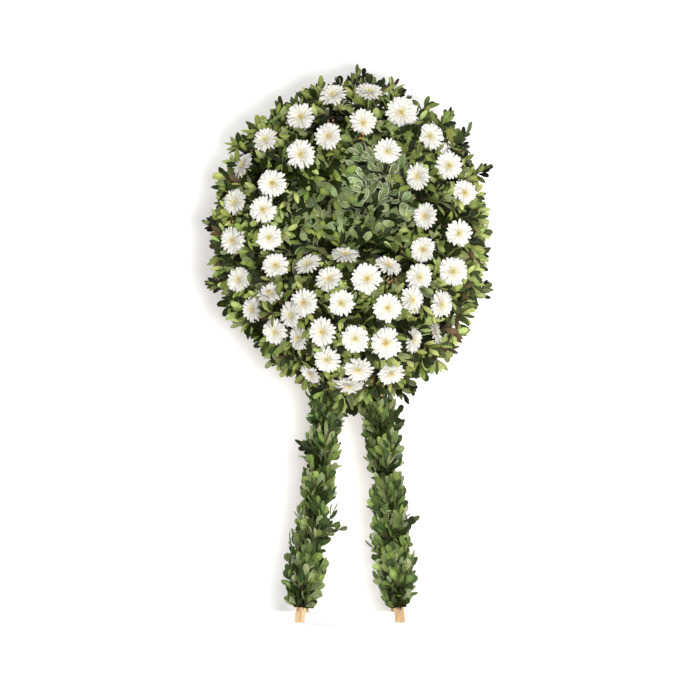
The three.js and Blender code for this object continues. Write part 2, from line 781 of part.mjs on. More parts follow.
place("straw_pad", padForm(GAP, 0), MATERIAL.straw);
place("backboard", backboard(), MATERIAL.hardboard);
place("leg_left", frontLeg(-1), MATERIAL.timber);
place("leg_right", frontLeg(1), MATERIAL.timber);
place("cross_rail", crossRail(), MATERIAL.timber);
place("top_block", topBlock(), MATERIAL.timber);
place("prop_left", backProp(-1), MATERIAL.timber);
place("prop_right", backProp(1), MATERIAL.timber);
place("prop_rail", propRail(), MATERIAL.timber);

const blooms = BLOOM_PLAN.map(seatBloom);
const FOLIAGE_MATERIAL = {
  foliage_middle: MATERIAL.centreLeaf,
  foliage_ring_left: MATERIAL.bedLeaf,
  foliage_ring_right: MATERIAL.bedLeaf,
  foliage_heap: MATERIAL.heapLeaf,
};
for (const [name, solid] of headFoliage(blooms)) {
  place(name, geometryOf(solid), FOLIAGE_MATERIAL[name]);
}
place("garland_left", geometryOf(legGarland(-1)), MATERIAL.legLeaf);
place("garland_right", geometryOf(legGarland(1)), MATERIAL.legLeaf);

for (const [name, geometry] of bloomNodes(blooms)) {
  place(name, geometry, MATERIAL.petal);
}

// The origin goes on the floor, under the middle of the whole
wreath.updateMatrixWorld(true);
const box = new THREE.Box3().setFromObject(wreath, true);
wreath.position.set(-(box.min.x + box.max.x) / 2, -(box.min.y + box.max.y) / 2, 0);

export default wreath;
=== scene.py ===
from math import atan2, cos, exp, hypot, pi, radians, sin, sqrt, tau

import bmesh
import bpy
import numpy as np
from mathutils import Matrix, Vector, noise
from mathutils.bvhtree import BVHTree


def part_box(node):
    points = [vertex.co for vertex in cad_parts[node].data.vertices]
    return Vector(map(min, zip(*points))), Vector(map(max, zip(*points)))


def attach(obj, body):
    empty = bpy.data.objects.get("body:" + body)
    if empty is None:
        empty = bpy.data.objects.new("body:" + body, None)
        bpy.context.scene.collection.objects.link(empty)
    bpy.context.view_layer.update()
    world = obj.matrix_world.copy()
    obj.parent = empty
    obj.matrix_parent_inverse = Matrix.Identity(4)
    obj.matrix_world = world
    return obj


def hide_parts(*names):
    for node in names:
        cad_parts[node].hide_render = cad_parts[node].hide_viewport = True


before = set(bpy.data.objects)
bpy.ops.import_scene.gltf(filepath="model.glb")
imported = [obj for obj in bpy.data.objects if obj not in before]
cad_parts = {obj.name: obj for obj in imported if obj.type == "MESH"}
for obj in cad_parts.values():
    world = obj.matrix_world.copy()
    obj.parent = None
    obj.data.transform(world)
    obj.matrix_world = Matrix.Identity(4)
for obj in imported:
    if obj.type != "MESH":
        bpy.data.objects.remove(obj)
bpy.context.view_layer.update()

bpy.ops.object.select_all(action="DESELECT")


# Timber easel: two front legs, two back props, their rails and the block between their tops are
# sawn softwood, nailed together and left bare. The grain runs along each stick, and the round
# board that the head is pinned to is thin brown hardboard.

def new_material(name, color, roughness):
    material = bpy.data.materials.new(name)
    material.use_nodes = True
    shader = material.node_tree.nodes["Principled BSDF"]
    shader.inputs["Base Color"].default_value = (*color, 1)
    shader.inputs["Roughness"].default_value = roughness
    return material, material.node_tree.nodes, material.node_tree.links, shader


def fine_noise(nodes, links, vector, scale, detail=2, distortion=0):
    grains = nodes.new("ShaderNodeTexNoise")
    grains.inputs["Scale"].default_value = scale
    grains.inputs["Detail"].default_value = detail
    grains.inputs["Distortion"].default_value = distortion
    links.new(vector, grains.inputs["Vector"])
    return grains.outputs["Fac"]


def toned(nodes, links, value, stops):
    ramp = nodes.new("ShaderNodeValToRGB")
    elements = ramp.color_ramp.elements
    while len(elements) < len(stops):
        elements.new(0.5)
    for element, (place, color) in zip(elements, stops):
        element.position = place
        element.color = (*color, 1)
    links.new(value, ramp.inputs["Fac"])
    return ramp.outputs["Color"]


def roughen(nodes, links, shader, height, strength, distance):
    bump = nodes.new("ShaderNodeBump")
    bump.inputs["Strength"].default_value = strength
    bump.inputs["Distance"].default_value = distance
    links.new(height, bump.inputs["Height"])
    links.new(bump.outputs["Normal"], shader.inputs["Normal"])


def sawn_timber(name, grain_scale):
    material, nodes, links, shader = new_material(name, (0.5, 0.34, 0.18), 0.78)
    stretch = nodes.new("ShaderNodeMapping")
    stretch.inputs["Scale"].default_value = grain_scale
    links.new(nodes.new("ShaderNodeTexCoord").outputs["Object"], stretch.inputs["Vector"])
    rings = fine_noise(nodes, links, stretch.outputs["Vector"], 38, 5, 1.1)
    browns = [(0.34, (0.30, 0.17, 0.075)), (0.5, (0.52, 0.35, 0.18)), (0.68, (0.66, 0.48, 0.28))]
    links.new(toned(nodes, links, rings, browns), shader.inputs["Base Color"])
    fibres = fine_noise(nodes, links, stretch.outputs["Vector"], 260, 3)
    roughen(nodes, links, shader, fibres, 0.25, 0.0015)
    return material


def flecked(name, color, roughness, scale, detail, tones, bump=None, gloss=0.5):
    """A finish whose tones follow one noise, which also roughens it by bump's strength and distance."""
    material, nodes, links, shader = new_material(name, color, roughness)
    shader.inputs["Specular IOR Level"].default_value = gloss
    flecks = fine_noise(nodes, links, nodes.new("ShaderNodeTexCoord").outputs["Object"], scale, detail)
    links.new(toned(nodes, links, flecks, tones), shader.inputs["Base Color"])
    if bump:
        roughen(nodes, links, shader, flecks, *bump)
    return material


upright_timber = sawn_timber("timber_upright", (1, 1, 0.05))
level_timber = sawn_timber("timber_level", (0.05, 1, 1))
board_browns = [(0.3, (0.12, 0.062, 0.03)), (0.7, (0.27, 0.16, 0.085))]
hardboard = flecked("hardboard", (0.2, 0.11, 0.055), 0.8, 420, 6, board_browns, (0.25, 0.0008))

for finish, node_names in (
    (upright_timber, ("leg_left", "leg_right", "prop_left", "prop_right")),
    (level_timber, ("cross_rail", "prop_rail", "top_block")),
    (hardboard, ("backboard",)),
):
    for node_name in node_names:
        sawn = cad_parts[node_name]
        sawn.data.materials.clear()
        sawn.data.materials.append(finish)


# Straw pad: three rolls of twisted straw, laid round in rings and pinned to the board. They show only
# from behind and below, between the board and the moss. Like all of the head, they are laid out
# upright, on the board's face, and then leaned back about the front feet as the easel is.

HEAD_X, HEAD_Z, HALF_WIDTH, HALF_HEIGHT = -0.005, 1.3, 0.43, 0.47
LEAN = radians(8)
LEG_FRONT_Y = 0.0087

foot_left, foot_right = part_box("leg_left"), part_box("leg_right")
shift_x = (foot_left[0].x + foot_right[1].x) / 2
shift_y = foot_left[0].y - LEG_FRONT_Y / cos(LEAN)
easel = Matrix.Translation((shift_x, shift_y, 0)) @ Matrix.Rotation(-LEAN, 4, "X")


def feed(links, socket, value):
    if isinstance(value, bpy.types.NodeSocket):
        links.new(value, socket)
    else:
        socket.default_value = value


def reckoned(nodes, links, operation, *values):
    """The result of one sum. Each value is another node's output or a plain number."""
    step = nodes.new("ShaderNodeMath")
    step.operation = operation
    for socket, value in zip(step.inputs, values):
        feed(links, socket, value)
    return step.outputs["Value"]


straw, nodes, links, shader = new_material("straw", (0.45, 0.34, 0.14), 0.9)
shift = nodes.new("ShaderNodeMapping")
shift.inputs["Location"].default_value = (-0.002, 0, -HEAD_Z)
links.new(nodes.new("ShaderNodeTexCoord").outputs["Object"], shift.inputs["Vector"])
from_middle = nodes.new("ShaderNodeSeparateXYZ")
links.new(shift.outputs["Vector"], from_middle.inputs["Vector"])
turn = reckoned(nodes, links, "ARCTAN2", from_middle.outputs["X"], from_middle.outputs["Z"])
reach = nodes.new("ShaderNodeVectorMath")
reach.operation = "LENGTH"
links.new(shift.outputs["Vector"], reach.inputs[0])
laid_round = nodes.new("ShaderNodeCombineXYZ")
links.new(reckoned(nodes, links, "MULTIPLY", turn, 3), laid_round.inputs["X"])
links.new(reckoned(nodes, links, "MULTIPLY", reach.outputs["Value"], 260), laid_round.inputs["Y"])
stalks = fine_noise(nodes, links, laid_round.outputs["Vector"], 2.2, 5, 0.4)
straw_golds = [(0.28, (0.13, 0.085, 0.03)), (0.5, (0.42, 0.31, 0.12)), (0.72, (0.66, 0.54, 0.27))]
links.new(toned(nodes, links, stalks, straw_golds), shader.inputs["Base Color"])
roughen(nodes, links, shader, stalks, 0.9, 0.004)

ROLL_SHARES, ROLL_RADIUS, ROLL_DEPTH = (0.885, 0.797, 0.709), 0.0225, 0.0235
STRANDS, TWISTS, TUBE = 5, 44, 0.1
for share in ROLL_SHARES:
    bpy.ops.object.select_all(action="DESELECT")
    bpy.ops.mesh.primitive_torus_add(major_segments=200, minor_segments=14, major_radius=1, minor_radius=TUBE)
    roll = bpy.context.active_object
    roll.name = f"straw_roll_{round(share * 100)}"
    for vertex in roll.data.vertices:
        x, y, z = vertex.co
        angle, sideways = atan2(y, x), (hypot(x, y) - 1) / TUBE
        strand = 1 + 0.09 * cos(STRANDS * atan2(z / TUBE, sideways) + TWISTS * angle)
        strand += 0.05 * noise.noise(Vector((x * 9, y * 9, z)))
        out = ROLL_RADIUS * strand * sideways * 0.92
        place_x = HEAD_X + (share * HALF_WIDTH + out) * cos(angle)
        place_z = HEAD_Z + (share * HALF_HEIGHT + out) * sin(angle)
        vertex.co = easel @ Vector((place_x, -ROLL_DEPTH - ROLL_RADIUS * strand * z / TUBE, place_z))
    bpy.ops.object.mode_set(mode="EDIT")
    bpy.ops.mesh.select_all(action="SELECT")
    bpy.ops.mesh.normals_make_consistent(inside=False)
    bpy.ops.object.mode_set(mode="OBJECT")
    bpy.ops.object.shade_smooth()
    roll.data.materials.append(straw)
    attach(roll, "root")
    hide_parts("straw_pad")


# Bed of moss and short twigs: the uneven dark layer over the pad that the sprigs are pushed into.
# It shows in the gaps between leaves, where its near-black colour is partly painted shade. It is a
# shallow dish inside a raised ring, with a heap over its lower half, and all that is pushed into it
# stands on its coarse facets.

EDGE_DEPTH, DISH_DEPTH, RING_RISE, RING_SHARE, RING_SPREAD = 0.06, 0.075, 0.065, 0.72, 0.2
HEAP_Z, HEAP_HALF_WIDTH, HEAP_HALF_HEIGHT, HEAP_RISE = 1.05, 0.345, 0.215, 0.12
FACET_SHARES, FACET_SIDES = (1, 0.88, 0.72, 0.5, 0.26), 22


def bed_depth(x, z):
    share = hypot((x - HEAD_X) / HALF_WIDTH, (z - HEAD_Z) / HALF_HEIGHT)
    ring = RING_RISE * exp(-(((share - RING_SHARE) / RING_SPREAD) ** 2))
    in_heap = 1 - (x / HEAP_HALF_WIDTH) ** 2 - ((z - HEAP_Z) / HEAP_HALF_HEIGHT) ** 2
    heap = HEAP_RISE * sqrt(max(0, in_heap))
    return EDGE_DEPTH + (DISH_DEPTH - EDGE_DEPTH + ring + heap) * sqrt(max(0, 1 - share**5))


def unevenness(x, z):
    mm_x, mm_z = x * 1000, z * 1000
    return 0.008 * sin(mm_x * 0.071 + mm_z * 0.043) + 0.005 * sin(mm_x * 0.113 - mm_z * 0.089)


def bed_normal(x, z):
    step = 0.008
    slope_x = (bed_depth(x + step, z) - bed_depth(x - step, z)) / (2 * step)
    slope_z = (bed_depth(x, z + step) - bed_depth(x, z - step)) / (2 * step)
    return Vector((-slope_x, -1, -slope_z)).normalized()


bed_corners = []
for share in FACET_SHARES:
    for i in range(FACET_SIDES):
        x = HEAD_X + share * HALF_WIDTH * cos(i / FACET_SIDES * tau)
        z = HEAD_Z + share * HALF_HEIGHT * sin(i / FACET_SIDES * tau)
        bed_corners.append(Vector((x, -(bed_depth(x, z) + unevenness(x, z)), z)))
bed_corners.append(Vector((HEAD_X, -bed_depth(HEAD_X, HEAD_Z), HEAD_Z)))
bed_facets = []
for k in range(len(FACET_SHARES)):
    for i in range(FACET_SIDES):
        a, b = FACET_SIDES * k + i, FACET_SIDES * k + (i + 1) % FACET_SIDES
        if k < len(FACET_SHARES) - 1:
            bed_facets += [(a, b, a + FACET_SIDES), (b, b + FACET_SIDES, a + FACET_SIDES)]
        else:
            bed_facets.append((a, b, len(bed_corners) - 1))
bed_tree = BVHTree.FromPolygons(bed_corners, bed_facets)


def on_bed(x, z):
    hit = bed_tree.ray_cast(Vector((x, -1, z)), Vector((0, 1, 0)))[0]
    return hit if hit else Vector((x, -EDGE_DEPTH / 2, z))


bpy.ops.object.select_all(action="DESELECT")
bpy.ops.mesh.primitive_uv_sphere_add(segments=96, ring_count=52, radius=1, rotation=(pi / 2, 0, 0))
moss_bed = bpy.context.active_object
moss_bed.name = "moss_bed"
bpy.ops.object.transform_apply(location=False, rotation=True, scale=True)
for vertex in moss_bed.data.vertices:
    x, y, z = vertex.co
    share = min(1, hypot(x, z))
    if y < 0:
        share = 1 - (1 - share) ** 1.4
    spread = 0.99 * share / max(1e-6, hypot(x, z))
    place_x = HEAD_X + x * spread * HALF_WIDTH
    place_z = HEAD_Z + z * spread * HALF_HEIGHT
    if y < 1e-4:
        lump = noise.fractal(Vector((place_x, place_z, 3)) * 46, 1, 2, 4)
        depth = -on_bed(place_x, place_z).y - 0.006 + 0.006 * lump
        depth = min(depth, EDGE_DEPTH * 0.9) if share > 0.985 else depth
    else:
        depth = 0.012
    vertex.co = easel @ Vector((place_x, -depth, place_z))
bpy.ops.object.shade_smooth()
# the moss is near black, partly its own dark colour and partly painted shade for the gaps between leaves
moss_and_shade_greens = [(0.35, (0.003, 0.004, 0.001)), (0.55, (0.012, 0.018, 0.004)), (0.75, (0.05, 0.038, 0.014))]
moss_and_shade = flecked("moss_twigs_and_shade", (0.02, 0.03, 0.01), 0.95, 90, 8, moss_and_shade_greens, (1, 0.006), 0.05)
moss_bed.data.materials.append(moss_and_shade)
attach(moss_bed, "root")


# Gerberas: cut white blooms on short green stems pushed into the bed, each with rows of strap
# petals round a yellow-green eye. Each is set where it is seen from the front, by the middle of
# its face, its width, and the way it turns and tips.

BLOOMS = [
    # the face's middle across and up, its width, its turn to the right and tip upwards in degrees, and
    # its height over the bed, with lengths in millimetres
    (-59, 1798, 95, -10, 40, 92), (66, 1810, 95, 5, 55, 86), (-169, 1724, 100, -10, 12, 46),
    (176, 1740, 112, 5, 5, 70), (45, 1701, 96, 5, 0, 46), (-75, 1655, 98, -22, 5, 46),
    (-290, 1645, 90, -20, 22, 46), (274, 1656, 95, 15, 10, 46), (-168, 1591, 104, -15, 0, 46),
    (128, 1602, 92, 0, -20, 46), (-368, 1556, 96, -55, 30, 46), (338, 1555, 98, 10, 8, 46),
    (230, 1516, 94, -32, 0, 46), (-264, 1492, 99, -10, 0, 46), (392, 1462, 90, 20, 0, 46),
    (-393, 1429, 95, -35, 10, 46), (-296, 1402, 95, -8, 0, 46), (256, 1381, 92, -32, 5, 46),
    (370, 1322, 95, 14, 0, 46), (-400, 1298, 96, -28, 0, 46), (-275, 1307, 90, 0, 0, 46),
    (249, 1266, 92, -12, 0, 46), (-253, 1212, 92, 0, 20, 46), (-144, 1216, 92, -28, 45, 46),
    (-16, 1248, 100, 5, 62, 46), (130, 1211, 94, 28, 48, 46), (-70, 1165, 96, -18, 24, 46),
    (57, 1165, 110, 10, 12, 46), (235, 1171, 100, 28, 0, 54), (349, 1192, 108, 10, 0, 46),
    (-379, 1165, 90, -25, 8, 46), (-270, 1117, 92, -20, 40, 46), (-332, 1064, 90, -45, 0, 46),
    (-155, 1084, 98, -22, 0, 46), (-30, 1083, 92, 0, 0, 46), (127, 1067, 100, 0, 0, 46),
    (209, 1093, 102, 42, 0, 46), (310, 1078, 96, 38, 0, 46), (-200, 1043, 96, -48, 0, 46),
    (-253, 985, 94, -28, -8, 46), (-175, 965, 90, -55, -5, 46), (-93, 985, 100, -24, -5, 46),
    (18, 963, 98, 0, -5, 46), (121, 949, 112, 10, -8, 46), (217, 958, 88, 58, -5, 46),
    (291, 986, 84, 72, 18, 46), (-78, 893, 96, -10, -24, 46), (27, 859, 104, 0, -42, 46),
    (140, 846, 96, 18, -34, 46), (-4, 803, 96, -5, -62, 46), (-135, 843, 84, -55, -38, 46),
]
# blooms that are wired stem to stem, and are one node
BUNCHES = [(17, 21), (24, 27), (26, 28), (29, 37, 36), (34, 39, 40), (48, 50)]
STEM_IN_BED = 0.014


def seat_bloom(x, z, across, yaw, pitch, lift):
    turn, tip = radians(yaw), radians(pitch) - LEAN
    x, z, lift = x / 1000, z / 1000, lift / 1000
    axis = Vector((sin(turn) * cos(tip), -cos(turn) * cos(tip), sin(tip)))
    centre = Vector((x, 0, z))
    for _ in range(6):
        root = on_bed(centre.x - lift * axis.x, centre.z - lift * axis.z)
        centre.y = root.y + lift * axis.y
        centre.z = (z + centre.y * sin(LEAN)) / cos(LEAN)
    return {"root": root, "centre": centre, "axis": axis, "radius": across / 2000, "stem": lift + STEM_IN_BED}


seats = [seat_bloom(*row) for row in BLOOMS]


BLADE_WALL = 0.014


def blade_pattern(name, rows, fold):
    """A thin leaf or petal: a grid along +Y, shaped row by row, folded along its rib and thickened."""
    bpy.ops.object.select_all(action="DESELECT")
    bpy.ops.mesh.primitive_grid_add(x_subdivisions=2, y_subdivisions=len(rows) - 1, size=1)
    blade = bpy.context.active_object
    blade.name = name
    bpy.ops.object.mode_set(mode="EDIT")
    grid = bmesh.from_edit_mesh(blade.data)
    grid.verts.ensure_lookup_table()
    row_of = [round((v.co.y + 0.5) * (len(rows) - 1)) for v in grid.verts]
    for k, (along_y, half_width, height) in enumerate(rows):
        for v, row in zip(grid.verts, row_of):
            v.select_set(row == k)
        grid.select_flush_mode()
        bmesh.update_edit_mesh(blade.data)
        bpy.ops.transform.resize(value=(half_width / 0.5, 1, 1))
        start_y = k / (len(rows) - 1) - 0.5
        bpy.ops.transform.translate(value=(0, along_y - start_y, height))
    for v in grid.verts:
        v.select_set(abs(v.co.x) < 1e-5)
    grid.select_flush_mode()
    bmesh.update_edit_mesh(blade.data)
    bpy.ops.transform.translate(value=(0, 0, -fold))
    bpy.ops.object.mode_set(mode="OBJECT")
    blade.data.materials.append(None)
    blade.data.materials.append(None)
    wall = blade.modifiers.new("wall", "SOLIDIFY")
    wall.thickness = BLADE_WALL
    wall.offset = 0
    wall.material_offset = 1
    bpy.ops.object.modifier_apply(modifier="wall")
    bpy.ops.object.shade_smooth_by_angle(angle=radians(50))
    return taken_apart(blade)


def taken_apart(pattern):
    """The numbers of a modelled pattern, ready for copying. The pattern itself isn't kept."""
    bpy.ops.object.transform_apply(location=True, rotation=True, scale=True)
    mesh = pattern.data

    def read(items, field, kind, width=1):
        values = np.empty(len(items) * width, kind)
        items.foreach_get(field, values)
        return values.reshape(-1, width) if width > 1 else values

    parts = {
        "points": read(mesh.vertices, "co", np.float32, 3),
        "edges": read(mesh.edges, "vertices", np.int32, 2),
        "corners": read(mesh.loops, "vertex_index", np.int32),
        "corner_edges": read(mesh.loops, "edge_index", np.int32),
        "starts": read(mesh.polygons, "loop_start", np.int32),
        "finish": read(mesh.polygons, "material_index", np.int32),
        "uv": read(mesh.uv_layers.active.data, "uv", np.float32, 2),
        "crease": np.zeros(len(mesh.edges), bool),
    }
    if "sharp_edge" in mesh.attributes:
        parts["crease"] = read(mesh.attributes["sharp_edge"].data, "value", bool)
    bpy.data.objects.remove(pattern)
    return parts


def fused_copies(name, runs, materials):
    """One mesh of many copies. Each run is a pattern, its copies' places and their tones."""
    out = {key: [] for key in (*runs[0][0], "tone")}
    points_so_far = edges_so_far = corners_so_far = 0
    for pattern, places, tones, finish in runs:
        count = len(places)
        place = np.array([list(map(list, matrix)) for matrix in places], np.float32)
        step = np.arange(count)[:, None]
        points = pattern["points"] @ place[:, :3, :3].transpose(0, 2, 1) + place[:, None, :3, 3]
        sizes = [len(pattern[key]) for key in ("points", "edges", "corners")]
        first_point = points_so_far + step * sizes[0]
        out["points"].append(points.reshape(-1, 3))
        out["edges"].append((pattern["edges"][None] + first_point[:, :, None]).reshape(-1, 2))
        out["corners"].append((pattern["corners"] + first_point).ravel())
        out["corner_edges"].append((pattern["corner_edges"] + edges_so_far + step * sizes[1]).ravel())
        out["starts"].append((pattern["starts"] + corners_so_far + step * sizes[2]).ravel())
        out["finish"].append(np.tile(pattern["finish"] + finish, count))
        out["uv"].append(np.tile(pattern["uv"], (count, 1)))
        out["crease"].append(np.tile(pattern["crease"], count))
        out["tone"].append(np.repeat(np.array(tones, np.float32), sizes[0], axis=0))
        points_so_far += sizes[0] * count
        edges_so_far += sizes[1] * count
        corners_so_far += sizes[2] * count
    whole = {key: np.concatenate(value) for key, value in out.items()}
    mesh = bpy.data.meshes.new(name)
    mesh.vertices.add(points_so_far)
    mesh.edges.add(edges_so_far)
    mesh.loops.add(corners_so_far)
    mesh.polygons.add(len(whole["starts"]))
    mesh.vertices.foreach_set("co", whole["points"].ravel())
    mesh.edges.foreach_set("vertices", whole["edges"].ravel())
    mesh.loops.foreach_set("vertex_index", whole["corners"])
    mesh.loops.foreach_set("edge_index", whole["corner_edges"])
    mesh.polygons.foreach_set("loop_start", whole["starts"])
    for material in materials:
        mesh.materials.append(material)
    mesh.polygons.foreach_set("material_index", whole["finish"])
    mesh.polygons.foreach_set("use_smooth", np.ones(len(whole["starts"]), bool))
    mesh.uv_layers.new(name="UVMap").data.foreach_set("uv", whole["uv"].ravel())
    mesh.attributes.new("sharp_edge", "BOOLEAN", "EDGE").data.foreach_set("value", whole["crease"])
    mesh.attributes.new("tone", "FLOAT_COLOR", "POINT").data.foreach_set("color", whole["tone"].ravel())
    mesh.update()
    piece = bpy.data.objects.new(name, mesh)
    bpy.context.scene.collection.objects.link(piece)
    return piece


STRAP_ROWS = [
    # each row of a petal or leaf is its place along it, its half width and its height, for a length of 1
    (0.16, 0.03, 0), (0.36, 0.07, 0.035), (0.62, 0.102, 0.05), (0.82, 0.104, 0.045), (0.94, 0.075, 0.03),
    (1.0, 0.026, 0.02),
]
CUPPED_ROWS = [
    (0.2, 0.03, 0), (0.38, 0.064, 0.02), (0.6, 0.088, 0.05), (0.82, 0.086, 0.085), (0.94, 0.06, 0.11),
    (1.0, 0.02, 0.115),
]
SHORT_ROWS = [(0.56, 0.03, 0), (0.72, 0.06, 0.03), (0.92, 0.055, 0.08), (1.0, 0.02, 0.1)]
strap = blade_pattern("strap_petal", STRAP_ROWS, 0.03)
cupped = blade_pattern("cupped_petal", CUPPED_ROWS, 0.032)
short = blade_pattern("short_petal", SHORT_ROWS, 0.014)

FLORETS, EYE_REACH, INNER_EYE, EYE_DOME = 70, 0.185, 0.095, 0.19
bpy.ops.mesh.primitive_cone_add(vertices=5, radius1=0.02, radius2=0.009, depth=0.06, location=(0, 0, 0.03))
bud_of_eye = taken_apart(bpy.context.active_object)
bpy.ops.mesh.primitive_uv_sphere_add(segments=16, ring_count=8, radius=EYE_DOME)
eye_dome = bpy.context.active_object
eye_dome.scale = (1, 1, 0.42)
bpy.ops.object.transform_apply(location=False, rotation=False, scale=True)
eye_dome = taken_apart(eye_dome)
bpy.ops.mesh.primitive_cone_add(
    vertices=14, radius1=0.07, radius2=0.26, depth=0.2, location=(0, 0, -0.09), end_fill_type="NGON"
)
cup = taken_apart(bpy.context.active_object)
bpy.ops.mesh.primitive_cylinder_add(vertices=8, radius=0.0029, depth=1, location=(0, 0, -0.5))
stem_stick = taken_apart(bpy.context.active_object)


def across_and_along(nodes, links):
    """Where a point lies on its own petal or leaf, from 0 to 1 across it and along it."""
    spot = nodes.new("ShaderNodeUVMap")
    spot.uv_map = "UVMap"
    ways = nodes.new("ShaderNodeSeparateXYZ")
    links.new(spot.outputs["UV"], ways.inputs["Vector"])
    return ways.outputs["X"], ways.outputs["Y"]


def own_tone(nodes):
    tint = nodes.new("ShaderNodeAttribute")
    tint.attribute_name = "tone"
    return tint.outputs["Color"], tint.outputs["Alpha"]


def blended(nodes, links, share, first, second, way="MULTIPLY"):
    """Two colours laid over each other. The share and colours are nodes' outputs or plain values."""
    mix = nodes.new("ShaderNodeMix")
    mix.data_type = "RGBA"
    mix.blend_type = way
    for number, value in ((0, share), (6, first), (7, second)):
        feed(links, mix.inputs[number], value)
    return mix.outputs[2]


petal_white, nodes, links, shader = new_material("petal_white", (0.9, 0.89, 0.85), 0.55)
shader.inputs["Subsurface Weight"].default_value = 0.12
shader.inputs["Subsurface Radius"].default_value = (0.006, 0.005, 0.004)
across, along = across_and_along(nodes, links)
eye_to_tip = [
    (0.0, (0.62, 0.57, 0.36)), (0.3, (0.73, 0.715, 0.62)), (0.6, (0.78, 0.775, 0.71)), (1.0, (0.81, 0.805, 0.76)),
]
tinted = blended(nodes, links, 1, toned(nodes, links, along, eye_to_tip), own_tone(nodes)[0])
# painted shade: each petal is painted greyer along its edges, as the shade between neighbouring petals
shaded_petal_edges = [
    (0.0, (0.68, 0.66, 0.66)), (0.14, (0.97, 0.97, 0.98)), (0.5, (0.93, 0.92, 0.94)),
    (0.86, (0.97, 0.97, 0.98)), (1.0, (0.68, 0.66, 0.66)),
]
shade_edged = blended(nodes, links, 1, tinted, toned(nodes, links, across, shaded_petal_edges))
links.new(shade_edged, shader.inputs["Base Color"])
ribs = reckoned(nodes, links, "SINE", reckoned(nodes, links, "MULTIPLY", across, 6 * pi))
roughen(nodes, links, shader, ribs, 0.5, 0.0006)

eye_yellow, nodes, links, shader = new_material("eye_yellow", (0.6, 0.5, 0.16), 0.7)
links.new(own_tone(nodes)[0], shader.inputs["Base Color"])

stem_greens = [(0.3, (0.12, 0.2, 0.05)), (0.7, (0.3, 0.4, 0.14))]
stem_green = flecked("stem_green", (0.2, 0.3, 0.09), 0.6, 500, 2, stem_greens)

PETAL_ROWS = [
    # pattern, petals, reach, height, tip up in degrees, tone; the two lowest rows' greyer tone is painted shade under
    # the rows above
    (strap, 19, 1.05, 0.0, -5, (0.9, 0.89, 0.89)),
    (strap, 19, 0.98, 0.035, 2, (0.97, 0.965, 0.97)),
    (cupped, 15, 0.78, 0.05, 7, (1, 1, 1)),
    (short, 20, 0.5, 0.055, 4, (1, 0.985, 0.94)),
    (short, 18, 0.33, 0.06, 8, (1, 0.94, 0.78)),
]

GOLDEN_ANGLE = pi * (3 - sqrt(5))


def turned_to(direction):
    return direction.to_track_quat("Z", "Y").to_matrix().to_4x4()


def bloom_copies(seat, number):
    random = np.random.default_rng(100 + number)
    radius = seat["radius"]
    spin = Matrix.Rotation(random.uniform(0, tau), 4, "Z")
    facing = turned_to(seat["axis"])
    stand = easel @ Matrix.Translation(seat["centre"]) @ facing @ spin
    sized = stand @ Matrix.Scale(radius, 4)
    runs = []
    for pattern, count, reach, height, tip, tone in PETAL_ROWS:
        places, tones = [], []
        for i in range(count):
            angle = (i + (0.5 if height == 0 else 0) + random.uniform(-0.28, 0.28)) / count * tau
            length = reach * random.uniform(0.9, 1.04) * (0.86 if random.random() < 0.1 else 1)
            lift = Matrix.Rotation(radians(tip + random.uniform(-5, 5)), 4, "X")
            roll = Matrix.Rotation(radians(random.uniform(-14, 14)), 4, "Y")
            wide = Matrix.Diagonal((reach**0.4 * random.uniform(0.88, 1.12), length, 0.5 + 0.5 * reach, 1))
            around = Matrix.Rotation(angle, 4, "Z")
            places.append(sized @ Matrix.Translation((0, 0, height)) @ around @ lift @ roll @ wide)
            shade = random.uniform(0.93, 1)
            tones.append((shade * tone[0], shade * tone[1], shade * tone[2] * random.uniform(0.97, 1), 1))
        runs.append((pattern, places, tones, 0))
    ochre = random.uniform(0, 1) ** 2
    inner_tone = (0.58, 0.53 - 0.13 * ochre, 0.2 - 0.08 * ochre)
    outer_tone = (0.8, 0.73 - 0.12 * ochre, 0.45 - 0.14 * ochre)
    florets, floret_tones = [], []
    for i in range(FLORETS):
        out = EYE_REACH * sqrt((i + 0.5) / FLORETS)
        up = 0.045 + 0.06 * cos(out / EYE_REACH * pi / 2)
        around = Matrix.Rotation(i * GOLDEN_ANGLE, 4, "Z")
        florets.append(sized @ around @ Matrix.Translation((out, 0, up)) @ Matrix.Rotation(out * 3, 4, "Y"))
        ripe = random.uniform(0.85, 1.12)
        tone = inner_tone if out < INNER_EYE else outer_tone
        floret_tones.append((tone[0] * ripe, tone[1] * ripe, tone[2] * ripe, 1))
    runs.append((bud_of_eye, florets, floret_tones, 2))
    runs.append((eye_dome, [sized @ Matrix.Translation((0, 0, 0.035))], [(0.3, 0.27, 0.08, 1)], 2))
    runs.append((cup, [sized], [(1, 1, 1, 1)], 3))
    runs.append((stem_stick, [stand @ Matrix.Diagonal((1, 1, seat["stem"], 1))], [(1, 1, 1, 1)], 3))
    return runs


node_of = {number: "gerbera_" + "_".join(f"{n:02d}" for n in bunch) for bunch in BUNCHES for number in bunch}
for number, seat in enumerate(seats, 1):
    bloom = fused_copies(
        f"bloom_{number:02d}", bloom_copies(seat, number), [petal_white, petal_white, eye_yellow, stem_green]
    )
    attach(bloom, "root")
    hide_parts(node_of.get(number, f"gerbera_{number:02d}"))


# Sprigs of the head: short cut twigs of a glossy evergreen, each with a whorl of blunt leaves that
# are widest near the tip. The middle has a pale, cream-edged kind, and the rim ages to bronze.

